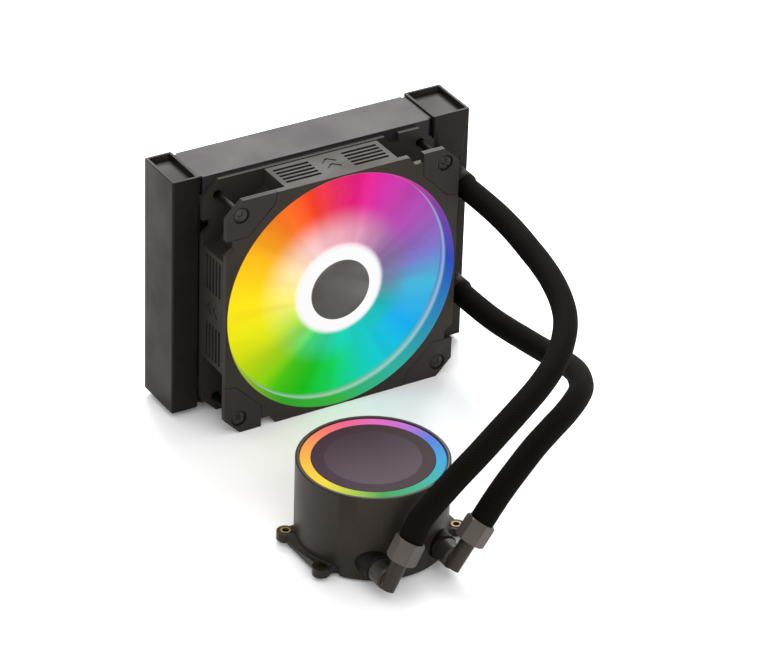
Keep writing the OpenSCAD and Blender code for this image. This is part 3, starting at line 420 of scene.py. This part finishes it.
paint = {
    "framePlastic": makeFramePlastic(),
    "coatedMetal": mouldedPlastic("coatedMetal", (0.010, 0.0083, 0.0066, 1), (0.0065, 0.0055, 0.0045, 1), 0.4, 0.54,
                                  sheen=0.11)[0],
    # Side plates: lighter and more purple than the tanks, which is painted top light on their up-facing faces
    "plateMetalPaintedTopLight": mouldedPlastic("plateMetalPaintedTopLight", (0.026, 0.021, 0.025, 1), (0.018, 0.0145, 0.017, 1), 0.42, 0.52, sheen=0.14)[0],
    "coreMetal": mouldedPlastic("coreMetal", (0.008, 0.0075, 0.007, 1), (0.005, 0.005, 0.0045, 1), 0.45, 0.6,
                                sheen=0.15)[0],
    "padRubber": mouldedPlastic("padRubber", (0.024, 0.020, 0.020, 1), (0.017, 0.014, 0.0145, 1), 0.5, 0.62,
                                1800.0, 0.00004, sheen=0.17)[0],
    "housingPlastic": mouldedPlastic("housingPlastic", (0.0195, 0.0155, 0.0120, 1), (0.0135, 0.0108, 0.0086, 1), 0.36,
                                     0.46, sheen=0.17)[0],
    "fittingPlastic": mouldedPlastic("fittingPlastic", (0.025, 0.0205, 0.0165, 1), (0.017, 0.014, 0.0115, 1), 0.34,
                                     0.46, sheen=0.24)[0],
    # Port collars: much darker than the elbows, which is painted shade where they sit in shadow
    "collarPlasticPaintedShade": mouldedPlastic("collarPlasticPaintedShade", (0.006, 0.005, 0.0045, 1), (0.004, 0.0035, 0.003, 1), 0.45, 0.55,
                                    sheen=0.1)[0],
    "ferruleMetal": mouldedPlastic("ferruleMetal", (0.078, 0.067, 0.059, 1), (0.056, 0.048, 0.043, 1), 0.38, 0.5,
                                   3000.0, 0.00001, sheen=0.22)[0],
    "screwMetal": metal("screwMetal", (0.055, 0.05, 0.048, 1), (0.025, 0.023, 0.022, 1), 0.3, 0.45),
    "brassMetal": metal("brassMetal", (0.17, 0.13, 0.065, 1), (0.11, 0.085, 0.04, 1), 0.34, 0.48),
    "steelMetal": metal("steelMetal", (0.62, 0.62, 0.64, 1), (0.45, 0.45, 0.47, 1), 0.2, 0.32),
    "magnetMetal": metal("magnetMetal", (0.2, 0.2, 0.2, 1), (0.12, 0.12, 0.12, 1), 0.4, 0.55),
    "windings": metal("windings", (0.66, 0.33, 0.18, 1), (0.4, 0.18, 0.08, 1), 0.3, 0.5, 900.0),
    "boardGreen": mouldedPlastic("boardGreen", (0.03, 0.11, 0.06, 1), (0.015, 0.06, 0.035, 1), 0.3, 0.4, 700.0)[0],
    "capGloss": mouldedPlastic("capGloss", (0.062, 0.056, 0.053, 1), (0.052, 0.047, 0.044, 1), 0.3, 0.38)[0],
    "wheelPlastic": mouldedPlastic("wheelPlastic", (0.75, 0.74, 0.7, 1), (0.6, 0.6, 0.57, 1), 0.4, 0.5)[0],
    "rotorGlow": makeRotorLight("rotorGlow", 1.0, 0.92),
    "rotorVeil": makeRotorLight("rotorVeil", 0.86, 1.0),
    "ringGlow": makeRingLight(),
    "discGloss": makeDiscGloss(),
    "braidedSleeve": makeSleeve(),
    "turnedCopper": makeCopperFace(),
}

nodePaint = {
    "coatedMetal": ["return_tank", "port_tank", "upper_barb", "lower_barb", "upper_ferrule", "lower_ferrule"],
    "plateMetalPaintedTopLight": ["top_side_plate", "bottom_side_plate"],
    "coreMetal": ["return_header", "port_header", "core_tubes", "core_fins"],
    "framePlastic": ["fan_frame"],
    "padRubber": ["corner_pad_1", "corner_pad_2", "corner_pad_3", "corner_pad_4", "plate_gasket", "port_seals"],
    "screwMetal": ["fan_screws"],
    "brassMetal": ["fan_bearing", "lug_inserts"],
    "windings": ["fan_stator", "pump_stator"],
    "boardGreen": ["fan_board", "pump_board", "led_board"],
    "rotorGlow": ["fan_impeller"],
    "capGloss": ["fan_hub_cap"],
    "magnetMetal": ["fan_magnet", "impeller_magnet"],
    "steelMetal": ["fan_shaft", "pump_shaft", "plate_screws"],
    "housingPlastic": ["pump_housing", "pump_base", "chamber_lid"],
    "turnedCopper": ["cold_plate"],
    "ringGlow": ["light_ring"],
    "discGloss": ["top_disc"],
    "collarPlasticPaintedShade": ["left_port_collar", "right_port_collar"],
    "fittingPlastic": ["left_elbow", "right_elbow"],
    "ferruleMetal": ["left_ferrule", "right_ferrule"],
    "wheelPlastic": ["pump_impeller"],
    "braidedSleeve": ["upper_hose", "lower_hose"],
}
for paintName, members in nodePaint.items():
    for member in members:
        cadNodes[member].data.materials.clear()
        cadNodes[member].data.materials.append(paint[paintName])
print("materials made:", len(paint))


# Mesh helpers

def meshObject(name, mesh, material):
    piece = bpy.data.objects.new(name, mesh)
    scene.collection.objects.link(piece)
    mesh.materials.clear()
    mesh.materials.append(material)
    return piece


def smoothByAngle(mesh, degrees=35):
    mesh.polygons.foreach_set("use_smooth", [True] * len(mesh.polygons))
    mesh.set_sharp_from_angle(angle=math.radians(degrees))


# A finer copy of a CAD node: shaded smooth across its rounds, with a small bevel where width is given
def softened(node, width=0.0, merge=True):
    source = cadNodes[node]
    mesh = source.data.copy()
    work = bmesh.new()
    work.from_mesh(mesh)
    bmesh.ops.remove_doubles(work, verts=work.verts, dist=1e-6)
    if width and merge:
        bmesh.ops.dissolve_limit(work, angle_limit=math.radians(0.6), verts=work.verts, edges=work.edges)
    work.to_mesh(mesh)
    work.free()
    mesh.name = node + "_soft"
    piece = meshObject("dressed_" + node, mesh, source.data.materials[0])
    smoothByAngle(mesh, 32)
    if width:
        bevel = piece.modifiers.new("softEdges", "BEVEL")
        bevel.width = width
        bevel.segments = 2
        bevel.limit_method = "ANGLE"
        bevel.angle_limit = math.radians(38)
        bevel.harden_normals = True
    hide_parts(node)
    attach(piece, bodyOf[node])
    return piece


bodyOf = {member: body for body, group in frame["record"]["behaviour"]["bodies"].items() for member in group}


# Hoses

hoseSizes = {
    "radius": 5.5 * mm,
    "ringStep": 1.6 * mm,
    "sides": 28,
    "portX": 114.25, "portY": 113.0, "portMiddle": 62.75, "portHalf": 28.0,
    "pumpHalf": 16.5, "pumpY": -44.0, "pumpZ": 10.0, "reach": 20.3,
}
upperMiddle = [(114, 85, 90.5), (113, 70, 90), (111, 55, 89.5), (109, 40, 88.5), (105.5, 25, 88), (100.5, 10, 87),
               (94, -3, 86), (85, -15, 84.5), (74, -25.5, 82), (62, -33, 78.5), (49, -38.5, 74), (36, -42, 67.5),
               (24, -44, 60), (12, -44.5, 51)]
lowerMiddle = [(114.5, 86, 35), (115, 73, 36), (115.5, 60, 37.5), (115.5, 47, 39.5), (115, 35, 42),
               (113.5, 23, 45), (110.5, 11, 48.5), (105.5, 0, 52), (99, -11, 54.5), (90, -20, 56),
               (79.5, -27.5, 56), (68, -33.5, 54.5), (57, -38, 51)]


def hoseRoute(side, lean, middle, extra=()):
    s = hoseSizes
    start = Vector((s["portX"], s["portY"], s["portMiddle"] + side * s["portHalf"]))
    tilt = Vector((math.sin(math.radians(lean)), 0, math.cos(math.radians(lean))))
    end = Vector((-side * s["pumpHalf"], s["pumpY"], s["pumpZ"])) + s["reach"] * tilt
    route = [start, start + Vector((0, -13, 0))] + [Vector(p) for p in middle]
    route += [end + reach * tilt + Vector(shift) for reach, shift in extra] + [end + 11 * tilt, end]
    return [p * mm for p in route], -tilt


def smoothPath(points, lead, tail, step):
    ends = [points[0] - lead * (points[1] - points[0]).length] + points + \
        [points[-1] + tail * (points[-1] - points[-2]).length]
    dense = []
    for i in range(1, len(ends) - 2):
        p0, p1, p2, p3 = ends[i - 1:i + 3]
        for k in range(24):
            t = k / 24
            dense.append(0.5 * ((2 * p1) + (p2 - p0) * t + (2 * p0 - 5 * p1 + 4 * p2 - p3) * t * t
                                + (3 * p1 - p0 - 3 * p2 + p3) * t ** 3))
    dense.append(points[-1].copy())
    lengths = [0.0]
    for a, b in zip(dense, dense[1:]):
        lengths.append(lengths[-1] + (b - a).length)
    count = max(8, round(lengths[-1] / step))
    even, j = [], 0
    for i in range(count + 1):
        want = lengths[-1] * i / count
        while j < len(dense) - 2 and lengths[j + 1] < want:
            j += 1
        span = max(lengths[j + 1] - lengths[j], 1e-12)
        even.append(dense[j].lerp(dense[j + 1], (want - lengths[j]) / span))
    return even, lengths[-1]


def sweptTube(name, path, radius, sides, lead, tail, material):
    work = bmesh.new()
    uvLayer = work.loops.layers.uv.new("UVMap")
    rings, far, tangents = [], [0.0], []
    side = None
    for i, p in enumerate(path):
        tangent = lead if i == 0 else tail if i == len(path) - 1 else (path[i + 1] - path[i - 1]).normalized()
        if side is None:
            side = tangent.cross(Vector((0, 0, 1))).normalized()
        side = (side - tangent * side.dot(tangent)).normalized()
        up = tangent.cross(side)
        rings.append([work.verts.new(p + radius * (math.cos(a) * side + math.sin(a) * up))
                      for a in (math.tau * k / sides for k in range(sides))])
        if i:
            far.append(far[-1] + (p - path[i - 1]).length / (math.tau * radius))
    for i in range(len(path) - 1):
        for k in range(sides):
            n = (k + 1) % sides
            face = work.faces.new((rings[i][k], rings[i][n], rings[i + 1][n], rings[i + 1][k]))
            corners = ((k / sides, far[i]), ((k + 1) / sides, far[i]), ((k + 1) / sides, far[i + 1]),
                       (k / sides, far[i + 1]))
            for loop, uv in zip(face.loops, corners):
                loop[uvLayer].uv = uv
            face.smooth = True
    work.faces.new(reversed(rings[0]))
    work.faces.new(rings[-1])
    bmesh.ops.recalc_face_normals(work, faces=work.faces)
    mesh = bpy.data.meshes.new(name)
    work.to_mesh(mesh)
    work.free()
    return meshObject(name, mesh, material)


def makeHose(name, node, side, lean, middle, extra):
    route, tail = hoseRoute(side, lean, middle, extra)
    lead = Vector((0, -1, 0))
    path, length = smoothPath(route, lead, tail, hoseSizes["ringStep"])
    piece = sweptTube(name, path, hoseSizes["radius"], hoseSizes["sides"], lead, tail, paint["braidedSleeve"])
    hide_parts(node)
    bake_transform(piece)
    print(name, "length in mm:", round(length / mm, 1))
    return piece


makeHose("upperHose", "upper_hose", 1, 28, upperMiddle, ())
makeHose("lowerHose", "lower_hose", -1, 36, lowerMiddle, ((21, (1.5, 1.5, -1.5)),))


# Grown pieces: a node tree's result kept as a plain mesh

def grown(name, tree, values, material):
    blank = bpy.data.objects.new(name + "Seed", bpy.data.meshes.new(name + "Seed"))
    scene.collection.objects.link(blank)
    modifier = blank.modifiers.new(name, "NODES")
    modifier.node_group = tree
    sockets = {item.name: item.identifier for item in tree.interface.items_tree
               if item.item_type == "SOCKET" and item.in_out == "INPUT"}
    for label, value in values.items():
        modifier[sockets[label]] = value
    seen = bpy.context.evaluated_depsgraph_get()
    mesh = bpy.data.meshes.new_from_object(blank.evaluated_get(seen))
    blank.modifiers.remove(modifier)
    bpy.data.objects.remove(blank)
    mesh.name = name
    return meshObject(name, mesh, material)


def newGrowth(name, inputs, output):
    tree = bpy.data.node_groups.new(name, "GeometryNodeTree")
    for label, kind, start in inputs:
        socket = tree.interface.new_socket(label, in_out="INPUT", socket_type=kind)
        if start is not None:
            socket.default_value = start
    tree.interface.new_socket(output, in_out="OUTPUT", socket_type="NodeSocketGeometry")
    return tree, addNode(tree, "NodeGroupInput").outputs, addNode(tree, "NodeGroupOutput")


def joinXyz(tree, x=0.0, y=0.0, z=0.0):
    node = addNode(tree, "ShaderNodeCombineXYZ")
    for value, socket in zip((x, y, z), node.inputs):
        feed(tree, value, socket)
    return node.outputs[0]


def realParts(tree, instances, material, out):
    real = addNode(tree, "GeometryNodeRealizeInstances")
    feed(tree, instances, real.inputs[0])
    dressed = addNode(tree, "GeometryNodeSetMaterial")
    feed(tree, real.outputs[0], dressed.inputs["Geometry"])
    feed(tree, material, dressed.inputs["Material"])
    feed(tree, dressed.outputs[0], out.inputs[0])


# Rotor of the fan: each blade is a grid wrapped into a foil, twisted from hub to tip and swept forward

rotorSizes = {
    "blades": 11, "hubRadius": 22.0, "tipRadius": 56.3, "hubBack": 5.0, "hubFront": 23.2, "wall": 1.6,
    "hubPitch": 50.0, "tipPitch": 17.0, "depth": 16.7, "drop": 6.5, "sweep": 14.0,
    "camber": (2.6, 1.6), "thick": (1.35, 0.95), "stations": 17, "steps": 25,
    "veil": ((20.8, 22.95), (57.0, 16.6)), "veilThick": 0.3,
}


def fanPoint(x, y, z):
    return Vector((fanPlace["centre"][0] + x * mm, fanPlace["back"] - z * mm, fanPlace["centre"][1] + y * mm))


def revolved(profile, sides=128):
    work = bmesh.new()
    rings = [[work.verts.new(fanPoint(r * math.cos(a), r * math.sin(a), z))
              for a in (math.tau * k / sides for k in range(sides))] for r, z in profile]
    for one, two in zip(rings, rings[1:] + rings[:1]):
        for k in range(sides):
            n = (k + 1) % sides
            work.faces.new((one[k], one[n], two[n], two[k]))
    bmesh.ops.recalc_face_normals(work, faces=work.faces)
    return work


def makeBlades():
    s = rotorSizes
    tree, given, out = newGrowth("fanBlades", [
        ("Blades", "NodeSocketInt", s["blades"]), ("Root radius", "NodeSocketFloat", 21.0 * mm),
        ("Tip radius", "NodeSocketFloat", s["tipRadius"] * mm), ("Root pitch", "NodeSocketFloat", 0.87),
        ("Tip pitch", "NodeSocketFloat", 0.3), ("Depth", "NodeSocketFloat", s["depth"] * mm),
        ("Drop", "NodeSocketFloat", s["drop"] * mm), ("Sweep", "NodeSocketFloat", 0.24),
        ("Middle", "NodeSocketFloat", 0.0133), ("Centre", "NodeSocketVector", (0, 0, 0)),
        ("Light", "NodeSocketMaterial", None)], "Blades")

    def op(name, a, b=None, c=None):
        return math2(tree, name, a, b, c)

    def between(a, b, t):
        return op("MULTIPLY_ADD", op("SUBTRACT", b, a), t, a)

    grid = addNode(tree, "GeometryNodeMeshGrid")
    for label, value in (("Size X", 1.0), ("Size Y", 1.0), ("Vertices X", s["stations"]), ("Vertices Y", s["steps"])):
        grid.inputs[label].default_value = value
    place = addNode(tree, "ShaderNodeSeparateXYZ")
    feed(tree, addNode(tree, "GeometryNodeInputPosition").outputs[0], place.inputs[0])
    t = op("ADD", place.outputs[0], 0.5)
    u = op("SUBTRACT", 0.5, op("MULTIPLY", op("ABSOLUTE", place.outputs[1]), 2.0))
    edge = op("MAXIMUM", op("MULTIPLY_ADD", op("MULTIPLY", u, u), -4.0, 1.0), 0.0)
    radius = between(given["Root radius"], given["Tip radius"], t)
    pitch = between(given["Root pitch"], given["Tip pitch"], t)
    run = op("SUBTRACT", given["Depth"], op("MULTIPLY", given["Drop"], t))
    camber = op("MULTIPLY", between(s["camber"][0] * mm, s["camber"][1] * mm, t), edge)
    tip = op("MINIMUM", op("MULTIPLY", op("SUBTRACT", 1.0, t), 16.0), 1.0)
    thick = op("MULTIPLY", op("MULTIPLY", between(s["thick"][0] * mm, s["thick"][1] * mm, t), tip),
               op("SQRT", edge))
    bow = op("ADD", op("MULTIPLY", u, op("DIVIDE", run, op("TANGENT", pitch))),
             op("MULTIPLY", op("MULTIPLY", camber, op("SINE", pitch)), 0.5))
    angle = op("ADD", op("DIVIDE", bow, radius), op("MULTIPLY", given["Sweep"], op("MULTIPLY", t, t)))
    height = op("SUBTRACT", op("MULTIPLY_ADD", given["Drop"], op("MULTIPLY", t, -0.5), given["Middle"]),
                op("MULTIPLY", u, run))
    height = op("ADD", height, op("MULTIPLY", camber, op("COSINE", pitch)))
    height = op("ADD", height, op("MULTIPLY", op("SIGN", place.outputs[1]), op("MULTIPLY", thick, 0.5)))
    foil = addNode(tree, "GeometryNodeSetPosition")
    feed(tree, grid.outputs[0], foil.inputs["Geometry"])
    feed(tree, joinXyz(tree, op("MULTIPLY", radius, op("COSINE", angle)), op("MULTIPLY", height, -1.0),
                       op("MULTIPLY", op("MULTIPLY", radius, op("SINE", angle)), -1.0)), foil.inputs["Position"])
    closed = addNode(tree, "GeometryNodeMergeByDistance")
    feed(tree, foil.outputs[0], closed.inputs["Geometry"])
    feed(tree, 1e-6, closed.inputs["Distance"])
    spots = addNode(tree, "GeometryNodeMeshLine")
    feed(tree, given["Blades"], spots.inputs["Count"])
    feed(tree, given["Centre"], spots.inputs["Start Location"])
    feed(tree, (0, 0, 0), spots.inputs["Offset"])
    copies = addNode(tree, "GeometryNodeInstanceOnPoints")
    feed(tree, spots.outputs[0], copies.inputs["Points"])
    feed(tree, closed.outputs[0], copies.inputs["Instance"])
    share = op("DIVIDE", math.tau, given["Blades"])
    turn = op("MULTIPLY", addNode(tree, "GeometryNodeInputIndex").outputs[0], share)
    feed(tree, joinXyz(tree, 0.0, turn, 0.0), copies.inputs["Rotation"])
    realParts(tree, copies.outputs[0], given["Light"], out)
    return grown("fanBlades", tree, {
        "Root pitch": math.radians(s["hubPitch"]), "Tip pitch": math.radians(s["tipPitch"]),
        "Sweep": math.radians(s["sweep"]), "Middle": ((s["hubBack"] + s["hubFront"]) / 2 - 0.8) * mm,
        "Centre": list(fanPoint(0, 0, 0)), "Light": paint["rotorGlow"]}, paint["rotorGlow"])


def makeRotor():
    s = rotorSizes
    blades = makeBlades()
    r, back, front, wall = s["hubRadius"], s["hubBack"], s["hubFront"], s["wall"]
    work = revolved([(0.9, front), (r - 0.8, front), (r - 0.2, front - 0.2), (r, front - 0.8), (r, back),
                     (r - wall, back), (r - wall, front - wall), (4.5, front - wall), (4.5, front - wall - 4),
                     (0.9, front - wall - 4)])
    work.from_mesh(blades.data)
    bmesh.ops.recalc_face_normals(work, faces=work.faces)
    work.to_mesh(blades.data)
    work.free()
    smoothByAngle(blades.data, 40)
    blades.name = "fanRotor"
    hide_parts("fan_impeller")
    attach(blades, "fan_rotor")
    (r0, z0), (r1, z1) = s["veil"]
    work = revolved([(r0, z0), (r1, z1), (r1, z1 - s["veilThick"]), (r0, z0 - s["veilThick"])])
    mesh = bpy.data.meshes.new("bladeBlur")
    work.to_mesh(mesh)
    work.free()
    smoothByAngle(mesh, 40)
    veil = meshObject("bladeBlur", mesh, paint["rotorVeil"])
    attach(veil, "fan_rotor")


makeRotor()
print("rotor made:", rotorSizes["blades"], "blades")


# Fins between the tubes: one folded sheet, repeated in rows by a node tree

finSizes = {"low": (-14.8, 132.7, 5.0), "length": 117.6, "depth": 15.6, "rows": 13, "gap": 7.0385, "tube": 2.0,
            "fold": 1.5, "sheet": 0.14}


def makeFins():
    s = finSizes
    tree, given, out = newGrowth("foldedFins", [
        ("Fold", "NodeSocketFloat", s["fold"] * mm), ("Folds", "NodeSocketInt", 100),
        ("Height", "NodeSocketFloat", s["gap"] * mm), ("Depth", "NodeSocketFloat", s["depth"] * mm),
        ("Rows", "NodeSocketInt", s["rows"]), ("Spacing", "NodeSocketFloat", 0.009),
        ("Corner", "NodeSocketVector", (0, 0, 0)), ("Sheet", "NodeSocketMaterial", None)], "Fins")
    line = addNode(tree, "GeometryNodeMeshLine")
    feed(tree, given["Folds"], line.inputs["Count"])
    feed(tree, joinXyz(tree, given["Fold"]), line.inputs["Offset"])
    zigzag = addNode(tree, "GeometryNodeSetPosition")
    odd = math2(tree, "FLOORED_MODULO", addNode(tree, "GeometryNodeInputIndex").outputs[0], 2.0)
    feed(tree, line.outputs[0], zigzag.inputs["Geometry"])
    feed(tree, joinXyz(tree, 0.0, 0.0, math2(tree, "MULTIPLY", odd, given["Height"])), zigzag.inputs["Offset"])
    sheet = addNode(tree, "GeometryNodeExtrudeMesh", mode="EDGES")
    feed(tree, zigzag.outputs[0], sheet.inputs["Mesh"])
    feed(tree, joinXyz(tree, 0.0, given["Depth"]), sheet.inputs["Offset"])
    sheet.inputs["Offset Scale"].default_value = 1.0
    rows = addNode(tree, "GeometryNodeMeshLine")
    feed(tree, given["Rows"], rows.inputs["Count"])
    feed(tree, given["Corner"], rows.inputs["Start Location"])
    feed(tree, joinXyz(tree, 0.0, 0.0, given["Spacing"]), rows.inputs["Offset"])
    copies = addNode(tree, "GeometryNodeInstanceOnPoints")
    feed(tree, rows.outputs[0], copies.inputs["Points"])
    feed(tree, sheet.outputs[0], copies.inputs["Instance"])
    realParts(tree, copies.outputs[0], given["Sheet"], out)
    values = {"Folds": int(s["length"] / s["fold"]), "Spacing": (s["gap"] + s["tube"]) * mm,
              "Corner": [v * mm for v in s["low"]], "Sheet": paint["coreMetal"]}
    piece = grown("finStack", tree, values, paint["coreMetal"])
    thick = piece.modifiers.new("sheet", "SOLIDIFY")
    thick.thickness = s["sheet"] * mm
    thick.offset = 0
    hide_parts("core_fins")
    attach(piece, "cooler")


makeFins()
print("fins made")


# Softer edges on the rigid pieces that the light catches, and smooth shading on the round ones

edgeSizes = {
    "fan_frame": 0.25, "top_side_plate": 0.2, "bottom_side_plate": 0.2, "return_tank": 0.35, "port_tank": 0.35,
    "corner_pad_1": 0.3, "corner_pad_2": 0.3, "corner_pad_3": 0.3, "corner_pad_4": 0.3,
    "left_ferrule": 0.25, "right_ferrule": 0.25, "left_elbow": 0.3, "right_elbow": 0.3,
}
roundNodes = ["pump_housing", "pump_base", "light_ring", "left_port_collar", "right_port_collar",
              "upper_barb", "lower_barb", "upper_ferrule", "lower_ferrule", "fan_screws", "fan_hub_cap",
              "lug_inserts", "cold_plate", "plate_screws", "fan_bearing"]
for softNode, softWidth in edgeSizes.items():
    softened(softNode, softWidth * mm, merge=not softNode.endswith("_tank"))
for roundNode in roundNodes:
    softened(roundNode)
print("edges softened:", len(edgeSizes), "and rounds smoothed:", len(roundNodes))


# Floor and light

def makeFloor():
    material, tree, inputs = newMaterial("paleFloor", Roughness=0.9)
    inputs["Specular IOR Level"].default_value = 0.0
    skin = useGroup(tree, grainGroup, Tone=(0.97, 0.97, 0.97, 1), Shade=(0.96, 0.96, 0.96, 1), Grain=60.0, Cloud=2.0)
    tree.links.new(skin["Colour"], inputs["Base Color"])
    work = bmesh.new()
    bmesh.ops.create_grid(work, x_segments=2, y_segments=2, size=4.0)
    mesh = bpy.data.meshes.new("paleFloor")
    work.to_mesh(mesh)
    work.free()
    floor = meshObject("paleFloor", mesh, material)


lightSizes = {"ambient": 1.08, "top": 40.0, "topSize": 1.1, "front": 9.0, "frontSize": 1.2}


def addSoftbox(name, spot, target, size, power):
    data = bpy.data.lights.new(name, "AREA")
    data.energy = power
    data.size = size
    lamp = bpy.data.objects.new(name, data)
    scene.collection.objects.link(lamp)
    aim = Vector(target) - Vector(spot)
    lamp.matrix_world = Matrix.Translation(spot) @ aim.to_track_quat("-Z", "Y").to_matrix().to_4x4()


def makeWorld(sizes):
    world = bpy.data.worlds.new("studio")
    world.use_nodes = True
    scene.world = world
    tree = world.node_tree
    tree.nodes.clear()
    out = addNode(tree, "ShaderNodeOutputWorld")
    path = addNode(tree, "ShaderNodeLightPath")
    seen = math2(tree, "MAXIMUM", path.outputs["Is Camera Ray"],
                 math2(tree, "MAXIMUM", path.outputs["Is Glossy Ray"], path.outputs["Is Transmission Ray"]))
    back = addNode(tree, "ShaderNodeBackground")
    back.inputs["Color"].default_value = (1, 1, 1, 1)
    tree.links.new(spread(tree, seen, 0.0, 1.0, sizes["ambient"], 1.0), back.inputs["Strength"])
    tree.links.new(back.outputs[0], out.inputs[0])
    addSoftbox("topBox", (0.70, 1.12, 1.19), (0.04, 0.05, 0.05), sizes["topSize"], sizes["top"])
    addSoftbox("frontBox", (-0.25, -1.3, 1.15), (0.04, 0.05, 0.05), sizes["frontSize"], sizes["front"])


makeFloor()
makeWorld(lightSizes)
print("floor and light set")
